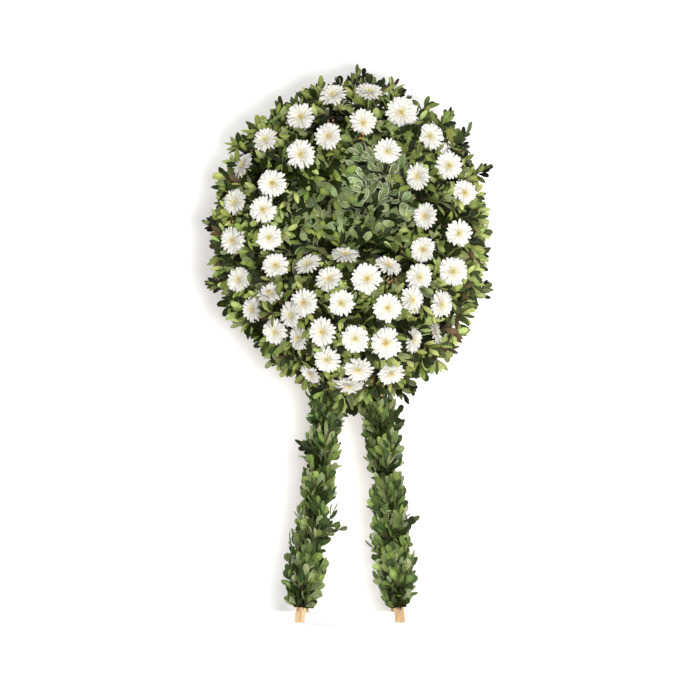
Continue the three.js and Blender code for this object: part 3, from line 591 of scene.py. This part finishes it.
LEAF_ROWS = [
    # kind, depth of the fold along the rib, and rows: widest near the tip, cupped, arched over, narrow
    ("leaf_obovate", 0.03, [
        (0, 0.02, 0), (0.14, 0.035, 0.015), (0.34, 0.11, 0.03), (0.54, 0.18, 0.035), (0.76, 0.205, 0.025),
        (0.93, 0.145, 0.005), (1.0, 0.05, -0.01),
    ]),
    ("leaf_cupped", 0.045, [
        (0, 0.02, 0), (0.14, 0.035, 0), (0.32, 0.11, 0), (0.52, 0.165, 0.01), (0.74, 0.175, 0.03),
        (0.91, 0.12, 0.06), (1.0, 0.04, 0.075),
    ]),
    ("leaf_arched", 0.035, [
        (0, 0.02, 0), (0.14, 0.045, 0.03), (0.32, 0.125, 0.06), (0.52, 0.17, 0.07), (0.74, 0.155, 0.05),
        (0.91, 0.085, 0.0), (1.0, 0.02, -0.04),
    ]),
    ("leaf_narrow", 0.04, [
        (0, 0.02, 0), (0.14, 0.035, 0.02), (0.34, 0.1, 0.045), (0.56, 0.135, 0.055), (0.78, 0.115, 0.045),
        (0.93, 0.06, 0.03), (1.0, 0.018, 0.01),
    ]),
]
LEAVES = [blade_pattern(name, rows, fold) for name, fold, rows in LEAF_ROWS]


def ranged(nodes, links, value, low, high, at_low=0, at_high=1):
    span = nodes.new("ShaderNodeMapRange")
    for socket, number in zip(("From Min", "From Max", "To Min", "To Max"), (low, high, at_low, at_high)):
        span.inputs[socket].default_value = number
    links.new(value, span.inputs["Value"])
    return span.outputs["Result"]


def leaf_material(name, under):
    material, nodes, links, shader = new_material(name, (0.1, 0.2, 0.05), 0.6 if under else 0.34)
    shader.inputs["Specular IOR Level"].default_value = 0.02 if under else 0.1
    own_color, cream_share = own_tone(nodes)
    across, along = across_and_along(nodes, links)
    beside_rib = reckoned(nodes, links, "ABSOLUTE", reckoned(nodes, links, "SUBTRACT", across, 0.5))
    mottle = fine_noise(nodes, links, nodes.new("ShaderNodeTexCoord").outputs["Object"], 130, 4)
    mottle_tones = toned(nodes, links, mottle, [(0.3, (0.72, 0.72, 0.72)), (0.7, (1.15, 1.12, 1.05))])
    green = blended(nodes, links, 1, own_color, mottle_tones)
    # painted shade: each leaf is painted darker towards its stalk, where it lies under others, and a little paler at
    # its tip
    stalk_shade_to_tip = [(0.0, (0.4, 0.4, 0.3)), (0.55, (0.95, 0.95, 0.9)), (1.0, (1.1, 1.1, 1.0))]
    green = blended(nodes, links, 1, green, toned(nodes, links, along, stalk_shade_to_tip))
    pale_rib = ranged(nodes, links, beside_rib, 0.02, 0.055, 0.5, 0)
    green = blended(nodes, links, pale_rib, green, (2.4, 2.1, 2.6, 1))
    ragged = reckoned(nodes, links, "MULTIPLY_ADD", mottle, 0.2, beside_rib)
    cream = reckoned(nodes, links, "MULTIPLY", ranged(nodes, links, ragged, 0.44, 0.5), cream_share)
    green = blended(nodes, links, cream, green, (0.62, 0.64, 0.42, 1), "MIX")
    if under:
        green = blended(nodes, links, 0.6, green, (1.9, 1.75, 2.5, 1))
    links.new(green, shader.inputs["Base Color"])

    veins = reckoned(nodes, links, "MULTIPLY_ADD", beside_rib, -0.7, along)
    vein_lines = reckoned(nodes, links, "SINE", reckoned(nodes, links, "MULTIPLY", veins, 9 * tau))
    roughen(nodes, links, shader, vein_lines, 0.35, 0.0008)
    return material


leaf_face = leaf_material("leaf_face", under=False)
leaf_back = leaf_material("leaf_back", under=True)

MIXES = {
    # colour, how cream its edge is, and its share of the leaves
    "middle": [
        ((0.108, 0.147, 0.057), 0.1, 4), ((0.185, 0.231, 0.109), 0.2, 3), ((0.009, 0.016, 0.002), 0, 5),
        ((0.15, 0.2, 0.045), 0, 2),
    ],
    "variegated": [((0.19, 0.25, 0.13), 0.55, 5), ((0.11, 0.16, 0.06), 0.35, 3), ((0.018, 0.03, 0.005), 0, 3)],
    "ring": [
        ((0.142, 0.189, 0.046), 0, 4), ((0.253, 0.31, 0.11), 0, 3), ((0.011, 0.018, 0.002), 0, 5),
        ((0.15, 0.18, 0.08), 0.25, 1),
    ],
    "heap": [
        ((0.145, 0.19, 0.045), 0, 4), ((0.27, 0.325, 0.115), 0, 3), ((0.012, 0.018, 0.002), 0, 5),
        ((0.13, 0.16, 0.07), 0.25, 1),
    ],
    "rim": [
        ((0.145, 0.18, 0.045), 0, 4), ((0.28, 0.335, 0.11), 0, 3), ((0.07, 0.045, 0.02), 0, 1),
        ((0.025, 0.038, 0.01), 0, 4),
    ],
    "bright_rim": [
        ((0.2, 0.25, 0.075), 0, 4), ((0.33, 0.385, 0.14), 0, 3), ((0.04, 0.055, 0.015), 0, 3),
        ((0.09, 0.06, 0.03), 0, 1),
    ],
    "leg": [
        ((0.085, 0.125, 0.035), 0, 4), ((0.03, 0.052, 0.014), 0, 4), ((0.19, 0.23, 0.11), 0.15, 2),
        ((0.15, 0.21, 0.055), 0, 2),
    ],
}
SHAPES = {
    # shares of obovate, cupped, arched and narrow leaves
    "middle": (0.4, 0.2, 0.2, 0.2),
    "variegated": (0.6, 0.3, 0.1, 0.0),
    "ring": (0.15, 0.2, 0.4, 0.25),
    "heap": (0.15, 0.2, 0.4, 0.25),
    "rim": (0.1, 0.15, 0.4, 0.35),
    "bright_rim": (0.1, 0.1, 0.35, 0.45),
    "leg": (0.4, 0.3, 0.15, 0.15),
}


def leaf_tone(random, mix, high):
    """One leaf's colour and how cream its edge is. It is painted darker, as shade, the deeper it lies among the
    others, and paler the further it stands out.
    """
    kinds = MIXES[mix]
    weights = np.array([share for _, _, share in kinds], float)
    color, cream, _ = kinds[random.choice(len(kinds), p=weights / weights.sum())]
    # painted shade: a leaf deep among the others is painted darker, one that stands out paler
    light = random.uniform(0.87, 1.24) * (0.12 + 1.05 * min(1, max(0, high)))
    warm = random.uniform(0.9, 1.12)
    return (color[0] * light * warm, color[1] * light, color[2] * light, cream)


FACE_SHARE, BEHIND_FACE, BEFORE_FACE = 0.97, 0.004, 0.085


def clear_of_blooms(point):
    """Whether a point is neither in a bloom's face nor close in front of it."""
    for seat in seats:
        offset = point - seat["centre"]
        ahead = offset.dot(seat["axis"])
        aside = sqrt(max(0, offset.length_squared - ahead * ahead))
        if -BEHIND_FACE < ahead < BEFORE_FACE and aside < seat["radius"] * FACE_SHARE:
            return False
    return True


bpy.ops.mesh.primitive_cone_add(vertices=5, radius1=1, radius2=0.6, depth=1, location=(0, 0, 0.5))
twig_stick = taken_apart(bpy.context.active_object)
twigs = []
TWIG_RADIUS = 0.0016


def leaf_places(
    random, root, axis, facing, count, length, spread, mix, fits, twig=0.02, stalk=0.02, flatten=0.65, painted_light=0.0
):
    """A whorl of leaves round a twig's tip, each turned to show its face to the light.

    A leaf that doesn't fit is tried lower, then higher, and else left out. Leaves that stand out are
    painted paler and deep ones darker, as painted shade, and the painted light argument makes all of them paler.
    """
    foot, tip = root - axis * stalk, root + axis * (twig + 0.01)
    thick = Matrix.Diagonal((TWIG_RADIUS, TWIG_RADIUS, (tip - foot).length, 1))
    shade = random.uniform(0.6, 1.3)
    twigs.append((easel @ Matrix.Translation(foot) @ turned_to(tip - foot) @ thick, (shade, shade, shade, 1)))
    side = axis.orthogonal().normalized()
    turn = random.uniform(0, tau)
    found = []
    for i in range(count):
        inner = i / max(1, count - 1)
        around = Matrix.Rotation(turn + i * GOLDEN_ANGLE, 3, axis)
        out = around @ side
        rise = radians(spread[0] + (spread[1] - spread[0]) * inner + random.uniform(-12, 12))
        base = root + axis * (0.004 + twig * inner)
        long = length * (1.05 - 0.22 * inner) * random.uniform(0.82, 1.15)
        for lower in (0, 14, 28, -16):
            tilt = rise - radians(lower)
            along = out * cos(tilt) + axis * sin(tilt)
            along = (along - facing * flatten * along.dot(facing)).normalized()
            if fits(base + along * long) and fits(base + along * long * 0.65):
                up = axis * 0.5 + facing + Vector(random.uniform(-0.35, 0.35, 3))
                up = (up - along * up.dot(along)).normalized()
                across = along.cross(up)
                wide = long * random.uniform(0.9, 1.15) * (1.12 if mix == "leg" else 1)
                # painted shade: how far the leaf stands out towards facing, plus the painted light, sets how pale it
                # is painted
                high = painted_light + (base + along * long * 0.8 - root).dot(facing) / 0.04
                place = Matrix.Translation(base) @ Matrix(
                    (
                        (across.x * wide, along.x * long, up.x * long, 0),
                        (across.y * wide, along.y * long, up.y * long, 0),
                        (across.z * wide, along.z * long, up.z * long, 0),
                        (0, 0, 0, 1),
                    )
                )
                found.append((random.choice(len(LEAVES), p=SHAPES[mix]), easel @ place, leaf_tone(random, mix, high)))
                break
    return found


bark_tones = [(0.3, (0.03, 0.018, 0.009)), (0.7, (0.13, 0.085, 0.045))]
bark = flecked("bark", (0.09, 0.06, 0.035), 0.85, 300, 5, bark_tones, (0.6, 0.001), 0.1)


def leafy_piece(name, found, node):
    runs = []
    for kind, pattern in enumerate(LEAVES):
        chosen = [leaf for leaf in found if leaf[0] == kind]
        if chosen:
            runs.append((pattern, [leaf[1] for leaf in chosen], [leaf[2] for leaf in chosen], 0))
    piece = fused_copies(name, runs, [leaf_face, leaf_back])
    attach(piece, "root")
    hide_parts(node)


def twiggy_piece(name):
    piece = fused_copies(name, [(twig_stick, [twig[0] for twig in twigs], [twig[1] for twig in twigs], 0)], [bark])
    twigs.clear()
    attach(piece, "root")


SEAM_Z = 1.245
PALE_Z, PALE_HALF_WIDTH, PALE_HALF_HEIGHT = 1.4, 0.215, 0.15


def part_at(x, z):
    if hypot(x / PALE_HALF_WIDTH, (z - PALE_Z) / PALE_HALF_HEIGHT) < 1 and z > SEAM_Z:
        return "foliage_middle"
    if z < SEAM_Z:
        return "foliage_heap"
    return "foliage_ring_left" if x < 0 else "foliage_ring_right"


LOWEST_LEAF, GARLANDS_REACH = 0.69, 0.84


def in_front_of_board(point):
    # low down, the head's leaves stay in front of the garlands' topmost leaves
    behind = point.y > (-0.022 if point.z < GARLANDS_REACH else -0.001)
    return not behind and point.z > LOWEST_LEAF and clear_of_blooms(point)


leaves_of = {node: [] for node in ("foliage_middle", "foliage_ring_left", "foliage_ring_right", "foliage_heap")}
random = np.random.default_rng(7)
SPRIGS = 430
for i in range(SPRIGS):
    share = 0.985 * sqrt((i + 0.5) / SPRIGS)
    angle = i * GOLDEN_ANGLE
    x = HEAD_X + share * HALF_WIDTH * cos(angle) + random.uniform(-0.01, 0.01)
    z = HEAD_Z + share * HALF_HEIGHT * sin(angle) + random.uniform(-0.01, 0.01)
    part = part_at(x, z)
    facing = (bed_normal(x, z) + Vector((0, -0.8, 0))).normalized()
    heading = 1.5 * tau * noise.noise(Vector((x * 4, 1.7, z * 4))) + 1.2 + random.uniform(-0.6, 0.6)
    in_plane = Vector((cos(heading), 0, sin(heading))) + 0.5 * share * Vector((cos(angle), 0, sin(angle)))
    axis = (facing * random.uniform(0.3, 0.8) + in_plane * 0.75).normalized()
    root = on_bed(x, z) + facing * random.uniform(-0.004, 0.016)
    mix = {"foliage_middle": "middle", "foliage_heap": "heap"}.get(part, "ring")
    if hypot((x - 0.1) / 0.085, (z - 1.47) / 0.11) < 1:
        mix = "variegated"
    if share > 0.9 and random.random() < 0.5:
        mix = "rim"
    if share > 0.85 and x > 0.25 and z < 1.5:
        mix = "bright_rim"
    length = 0.065 if mix in ("middle", "variegated") else 0.056
    # leaves at the far left are painted paler, as painted light on the side away from the key light
    leaves_of[part] += leaf_places(
        random, root, axis, facing, 8, length, (24, 74), mix, in_front_of_board, twig=0.034,
        painted_light=0.4 if x < -0.28 else 0.0,
    )

RIM_SPRIGS = 180
RIM_STEP = 15
RIM_REACH = (
    # how far the leaves stand out past the bed, in metres, at each step in degrees round from the right
    0.045, 0.05, 0.082, 0.098, 0.12, 0.115, 0.115, 0.1, 0.09, 0.1, 0.07, 0.045, 0.018, 0.028, 0.015, 0.02, 0.035,
    0.07, 0.11, 0.07, 0.085, 0.09, 0.062, 0.052, 0.045,
)
for i in range(RIM_SPRIGS):
    angle = (i + random.uniform(-0.4, 0.4)) / RIM_SPRIGS * tau
    back = i % 3 == 0
    reach = np.interp(angle % tau * 360 / tau, range(0, 361, RIM_STEP), RIM_REACH)
    reach *= random.uniform(0.55, 0.85 if back else 1.15)
    x = HEAD_X + 0.97 * HALF_WIDTH * cos(angle)
    z = HEAD_Z + 0.97 * HALF_HEIGHT * sin(angle)
    forward = radians(random.uniform(-15, 5) if back else random.uniform(-5, 40))
    outward = Vector((cos(angle), 0, sin(angle)))
    axis = outward * cos(forward) + Vector((0, -sin(forward), 0)) + Vector(random.uniform(-0.35, 0.35, 3))
    axis.normalize()
    depth = random.uniform(0.012, 0.022) if back else random.uniform(0.025, 0.055)
    root = Vector((x, -depth, z)) + axis * (reach - 0.045)
    facing = (Vector((0, -1, 0)) + outward * 0.4).normalized()
    mix = "rim" if random.random() < 0.65 else "ring"
    if cos(angle) > 0.6 and sin(angle) < 0.45:
        mix = "bright_rim"
    # rim leaves are painted paler, as painted light, most of all on the left, away from the key light
    leaves_of[part_at(x, z)] += leaf_places(
        random, root, axis, facing, 7, 0.058, (25, 74), mix, in_front_of_board, stalk=max(0.02, reach - 0.02),
        painted_light=0.5 if cos(angle) < -0.4 else 0.22,
    )

LONG_SPRAYS = [
    # foot and tip as seen from the front, and the kind of leaf
    (0.0, 1.79, 0.026, 1.9, "ring"), (0.016, 1.78, 0.01, 1.875, "ring"), (-0.12, 1.76, -0.1, 1.85, "rim"),
    (0.04, 1.75, 0.05, 1.8, "ring"), (0.08, 1.74, 0.1, 1.815, "rim"), (-0.03, 1.75, -0.03, 1.8, "ring"),
    (0.12, 1.73, 0.15, 1.8, "rim"), (-0.1, 1.74, -0.13, 1.79, "ring"), (0.05, 1.73, 0.07, 1.77, "ring"),
    (-0.235, 1.72, -0.24, 1.79, "rim"), (-0.43, 1.35, -0.488, 1.368, "ring"), (-0.42, 1.15, -0.48, 1.158, "rim"),
    (0.31, 1.68, 0.345, 1.755, "rim"), (0.36, 1.62, 0.41, 1.7, "variegated"), (0.42, 1.53, 0.47, 1.56, "ring"),
    (0.11, 0.86, 0.135, 0.77, "heap"), (0.12, 0.85, 0.155, 0.79, "ring"), (0.14, 0.84, 0.19, 0.76, "ring"),
    (0.17, 0.85, 0.215, 0.79, "heap"), (0.43, 1.12, 0.468, 1.15, "ring"),
    (0.0, 0.8, -0.008, 0.722, "heap"), (0.03, 0.8, 0.03, 0.72, "heap"), (-0.03, 0.81, -0.045, 0.735, "ring"),
    (0.014, 0.8, 0.012, 0.715, "ring"), (0.05, 0.81, 0.055, 0.73, "heap"),
    (0.03, 1.78, 0.045, 1.885, "ring"), (0.005, 1.78, 0.0, 1.862, "ring"),
]
for x, z, tip_x, tip_z, mix in LONG_SPRAYS:
    foot, tip = Vector((x, -0.035, z)), Vector((tip_x, -0.05, tip_z))
    axis = (tip - foot).normalized()
    leaves_of[part_at(x, z)] += leaf_places(
        random, foot, axis, Vector((0, -1, 0)), 11, 0.045, (28, 78), mix, in_front_of_board,
        twig=(tip - foot).length - 0.02, stalk=0.04,
    )

OVER_BLOOMS = [
    # sprays that lie over petals: place as seen from the front, lean to the right and up, leaves, their
    # length, the twig's, and the height over the bed
    (-0.253, 1.047, -1.0, 0.2, 9, 0.052, 0.03, 0.055), (-0.3, 1.103, -1.0, 0.5, 3, 0.04, 0.085, 0.066),
]
for seen_x, seen_z, right, up, count, length, stalk, lift in OVER_BLOOMS:
    x, z = seen_x, seen_z
    for _ in range(8):
        facing = bed_normal(x, z)
        root = on_bed(x, z) + facing * lift
        x += seen_x - root.x
        z += (seen_z + root.y * sin(LEAN)) / cos(LEAN) - root.z
    axis = (Vector((right, 0, up)) + facing * 0.25).normalized()
    leaves_of[part_at(x, z)] += leaf_places(
        random, root, axis, facing, count, length, (15, 60), "bright_rim", lambda point: point.y < -0.05, stalk=stalk
    )

for node, found in leaves_of.items():
    leafy_piece(node.replace("foliage", "leaves"), found, node)
twiggy_piece("twigs_of_head")


# Bud clusters: small unopened buds on thin stalks that stand between the sprigs, some yellow-green,
# some tan or orange, and one gone to dark seed.

bpy.ops.object.select_all(action="DESELECT")
bpy.ops.mesh.primitive_uv_sphere_add(segments=7, ring_count=5, radius=1)
bud = bpy.context.active_object
bpy.ops.object.mode_set(mode="EDIT")
points = bmesh.from_edit_mesh(bud.data)
for v in points.verts:
    v.select_set(v.co.z > 0.5)
points.select_flush_mode()
bmesh.update_edit_mesh(bud.data)
bpy.ops.transform.resize(value=(0.7, 0.7, 1.5))
bpy.ops.object.mode_set(mode="OBJECT")
bpy.ops.object.shade_smooth()
bud = taken_apart(bud)

bud_skin, nodes, links, shader = new_material("bud_skin", (0.35, 0.34, 0.1), 0.6)
shader.inputs["Specular IOR Level"].default_value = 0.2
scales = fine_noise(nodes, links, nodes.new("ShaderNodeTexCoord").outputs["Object"], 600)
scale_tones = toned(nodes, links, scales, [(0.35, (0.6, 0.6, 0.6)), (0.65, (1.1, 1.1, 1.1))])
links.new(blended(nodes, links, 1, own_tone(nodes)[0], scale_tones), shader.inputs["Base Color"])

YELLOW_GREEN, TAN, ORANGE, SEED = (0.36, 0.38, 0.1), (0.4, 0.26, 0.12), (0.75, 0.34, 0.07), (0.03, 0.02, 0.012)
BUD_CLUSTERS = [
    # place as seen from the front, buds, and their colour
    (-0.163, 1.507, 14, YELLOW_GREEN), (-0.167, 1.439, 12, YELLOW_GREEN), (0.17, 1.32, 12, YELLOW_GREEN),
    (0.044, 1.643, 7, ORANGE), (0.139, 1.15, 12, TAN), (0.119, 1.215, 12, SEED), (0.184, 1.395, 10, TAN),
    (0.153, 1.531, 14, YELLOW_GREEN), (-0.364, 1.283, 9, TAN), (0.19, 1.27, 10, TAN), (-0.06, 1.68, 10, TAN),
    (0.2, 1.06, 12, YELLOW_GREEN), (-0.12, 0.93, 12, TAN), (0.12, 0.8, 10, TAN), (-0.21, 1.12, 10, YELLOW_GREEN),
]
STALK_RADIUS = 0.0009
random = np.random.default_rng(77)
buds, bud_tones = [], []
for x, seen_z, count, color in BUD_CLUSTERS:
    z = seen_z
    for _ in range(5):
        root = on_bed(x, z)
        z = (seen_z + (root.y - 0.035) * sin(LEAN)) / cos(LEAN)
    facing = bed_normal(x, z)
    for _ in range(count):
        out = Vector(random.uniform(-0.55, 0.55, 3)) + facing
        out.normalize()
        stalk = random.uniform(0.03, 0.044)
        thin = Matrix.Diagonal((STALK_RADIUS, STALK_RADIUS, stalk, 1))
        twigs.append((easel @ Matrix.Translation(root) @ turned_to(out) @ thin, (1, 1, 1, 1)))
        size = random.uniform(0.0026, 0.0042)
        sized = Matrix.Diagonal((size, size, size * 1.2, 1))
        buds.append(easel @ Matrix.Translation(root + out * stalk) @ turned_to(out) @ sized)
        ripe = random.uniform(0.7, 1.2)
        bud_tones.append((color[0] * ripe, color[1] * ripe, color[2] * ripe, 1))
bud_clusters = fused_copies("bud_clusters", [(bud, buds, bud_tones, 0)], [bud_skin])
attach(bud_clusters, "root")
twiggy_piece("bud_stalks")


# Leg garlands: the same evergreen's twigs bound round each front leg, tips up, leaf over leaf.
# Their bark and the leaves' pale backs show between the leaves, and the stems lie beneath in one core.

LEG_Y, LEG_SPREAD, LEG_SLOPE = 0.0187, 0.172, 0.108
GARLAND_LOW, GARLAND_HIGH = 0.05, 0.815
TIES = {"left": (0.07, 0.16, 0.27, 0.4, 0.54, 0.66), "right": (0.07, 0.15, 0.25, 0.36, 0.51, 0.64)}
BUNCH_SHIFT = {"left": 0.012, "right": 0.006}
SIDE_TWIGS = {
    # height on the leg, sideways and upward lean, and length
    "left": ((0.282, 0.93, 0.3, 0.14), (0.3, 0.9, 0.35, 0.11), (0.6, 0.6, 0.6, 0.09), (0.57, -0.7, 0.5, 0.07)),
    "right": ((0.67, 0.75, 0.6, 0.1), (0.64, 0.8, 0.45, 0.09), (0.3, 0.8, 0.5, 0.1)),
}
TWIGS_A_TIE, SHORT_TWIGS, FOOT_TWIGS = 19, 34, 9

for side, leg_name in ((-1, "left"), (1, "right")):
    random = np.random.default_rng(40 + side)
    up_leg = Vector((-side * LEG_SLOPE, 0, 1)).normalized()
    level = Vector((0, 1, 0)).cross(up_leg).normalized()

    def clear_of_floor(point):
        under_head = point.z > 0.762 and point.y < -0.02
        return not under_head and side * point.x > 0.004 and (easel @ point).z > 0.004

    bound = [
        (tie + random.uniform(-0.02, 0.03), random.uniform(0.05, 0.12), 0.058)
        for tie in TIES[leg_name]
        for _ in range(TWIGS_A_TIE)
    ]
    bound += [(0.035 + 0.7 * (i + 0.5) / SHORT_TWIGS, 0.03, 0.046) for i in range(SHORT_TWIGS)]
    bound += [(0.05, 0.012, 0.04) for _ in range(FOOT_TWIGS)]
    found = []
    for i, (height, twig, length) in enumerate(bound):
        angle = i * GOLDEN_ANGLE + random.uniform(-0.3, 0.3)
        out = level * cos(angle) + Vector((0, 1, 0)) * sin(angle)
        shift = BUNCH_SHIFT[leg_name] * min(1, max(0, (height - 0.1) / 0.2))
        root = Vector((side * (LEG_SPREAD - LEG_SLOPE * height) + shift, LEG_Y, height)) + out * 0.014
        rise = radians(random.uniform(60, 84))
        axis = out * cos(rise) + up_leg * sin(rise)
        facing = (out + up_leg * 0.2).normalized()
        found += leaf_places(random, root, axis, facing, 8, length, (34, 76), "leg", clear_of_floor, twig, 0.012, 0.4)
    for height, sideways, upward, length in SIDE_TWIGS[leg_name]:
        root = Vector((side * (LEG_SPREAD - LEG_SLOPE * height), LEG_Y - 0.02, height))
        axis = Vector((sideways, -0.15, upward)).normalized()
        found += leaf_places(
            random, root, axis, Vector((0, -1, 0)), 8, 0.046, (45, 80), "leg", clear_of_floor,
            twig=length * 0.7, stalk=0.01, flatten=0.4,
        )
        thick = Matrix.Diagonal((0.002, 0.002, length, 1))
        twigs.append((easel @ Matrix.Translation(root) @ turned_to(axis) @ thick, (1, 1, 1, 1)))
    leafy_piece(f"leaves_{leg_name}_leg", found, f"garland_{leg_name}")
    twiggy_piece(f"twigs_{leg_name}_leg")

    bpy.ops.object.select_all(action="DESELECT")
    bpy.ops.mesh.primitive_cylinder_add(vertices=20, radius=0.026, depth=GARLAND_HIGH - GARLAND_LOW)
    core = bpy.context.active_object
    core.name = f"bound_stems_{leg_name}"
    bpy.ops.object.mode_set(mode="EDIT")
    bpy.ops.mesh.select_all(action="SELECT")
    bpy.ops.mesh.subdivide(number_cuts=2)
    bpy.ops.object.mode_set(mode="OBJECT")
    middle = (GARLAND_LOW + GARLAND_HIGH) / 2
    stand = easel @ Matrix.Translation((side * (LEG_SPREAD - LEG_SLOPE * middle), LEG_Y, middle))
    stand = stand @ turned_to(up_leg)
    for vertex in core.data.vertices:
        around = Vector((vertex.co.x, vertex.co.y, 0))
        strand = 0.0035 * cos(7 * atan2(around.y, around.x) + 30 * vertex.co.z)
        vertex.co += around.normalized() * (strand - 0.003) if around.length > 0.015 else Vector()
        vertex.co = stand @ vertex.co
    bpy.ops.object.shade_smooth_by_angle(angle=radians(50))
    # the core takes the bed's near-black colour, partly painted shade between the garland's leaves
    core.data.materials.append(moss_and_shade)
    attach(core, "root")


# Studio: a white floor and a close white wall, a key light in front, low and to the right, whose faint
# shadow falls up and to the left, one light above and one behind, and a level camera. The wall is
# one-sided and lets shadow rays through, so it neither hides nor darkens the wreath's back.

for name, middle, tilt, size in (("floor", (0, -2, 0), 0, (14, 14, 1)), ("wall", (0, 0.4, 3), pi / 2, (14, 8, 1))):
    bpy.ops.object.select_all(action="DESELECT")
    bpy.ops.mesh.primitive_plane_add(size=1, location=middle, rotation=(tilt, 0, 0))
    ground = bpy.context.active_object
    ground.name = name
    ground.scale = size
    bpy.ops.object.transform_apply(location=True, rotation=True, scale=True)
    paper, nodes, links, shader = new_material(f"{name}_white", (0.93, 0.93, 0.93), 0.9)
    shader.inputs["Specular IOR Level"].default_value = 0.1
    shader.inputs["Emission Color"].default_value = (1, 1, 1, 1)
    shader.inputs["Emission Strength"].default_value = 0.15
    ground.data.materials.append(paper)
    if name == "wall":
        backfacing = nodes.new("ShaderNodeNewGeometry").outputs["Backfacing"]
        shadow_ray = nodes.new("ShaderNodeLightPath").outputs["Is Shadow Ray"]
        clear = nodes.new("ShaderNodeBsdfTransparent")
        one_sided = nodes.new("ShaderNodeMixShader")
        links.new(reckoned(nodes, links, "MAXIMUM", backfacing, shadow_ray), one_sided.inputs[0])
        links.new(shader.outputs["BSDF"], one_sided.inputs[1])
        links.new(clear.outputs["BSDF"], one_sided.inputs[2])
        links.new(one_sided.outputs["Shader"], nodes["Material Output"].inputs["Surface"])

LIT_POINT = Vector((0, 0, 1.1))


def soft_light(name, place, size, power):
    data = bpy.data.lights.new(name, "AREA")
    data.shape = "DISK"
    data.size = size
    data.energy = power
    light = bpy.data.objects.new(name, data)
    bpy.context.scene.collection.objects.link(light)
    light.location = place
    light.rotation_euler = (LIT_POINT - Vector(place)).to_track_quat("-Z", "Y").to_euler()


soft_light("key", (0.5, -5.2, 0.9), 1.2, 262)
soft_light("above", (1.2, -3.0, 4.2), 3.2, 108)
soft_light("behind", (-1.6, 4.6, 3.2), 3.0, 170)

world = bpy.data.worlds.new("studio")
bpy.context.scene.world = world
world.use_nodes = True
world.node_tree.nodes["Background"].inputs["Color"].default_value = (1, 1, 1, 1)
world.node_tree.nodes["Background"].inputs["Strength"].default_value = 0.08

camera_data = bpy.data.cameras.new("camera")
camera = bpy.data.objects.new("camera", camera_data)
bpy.context.scene.collection.objects.link(camera)
bpy.context.scene.camera = camera
CAMERA_AWAY, EYE_LEVEL, VIEW_WIDTH, FILM_WIDTH = 14.0, 0.925, 2.38, 36
camera.location = (shift_x, -CAMERA_AWAY - 0.2, EYE_LEVEL)
camera.rotation_euler = (pi / 2, 0, 0)
camera_data.sensor_width = FILM_WIDTH
camera_data.lens = FILM_WIDTH * CAMERA_AWAY / VIEW_WIDTH
camera_data.clip_end = 60
bpy.context.scene.view_settings.view_transform = "Standard"
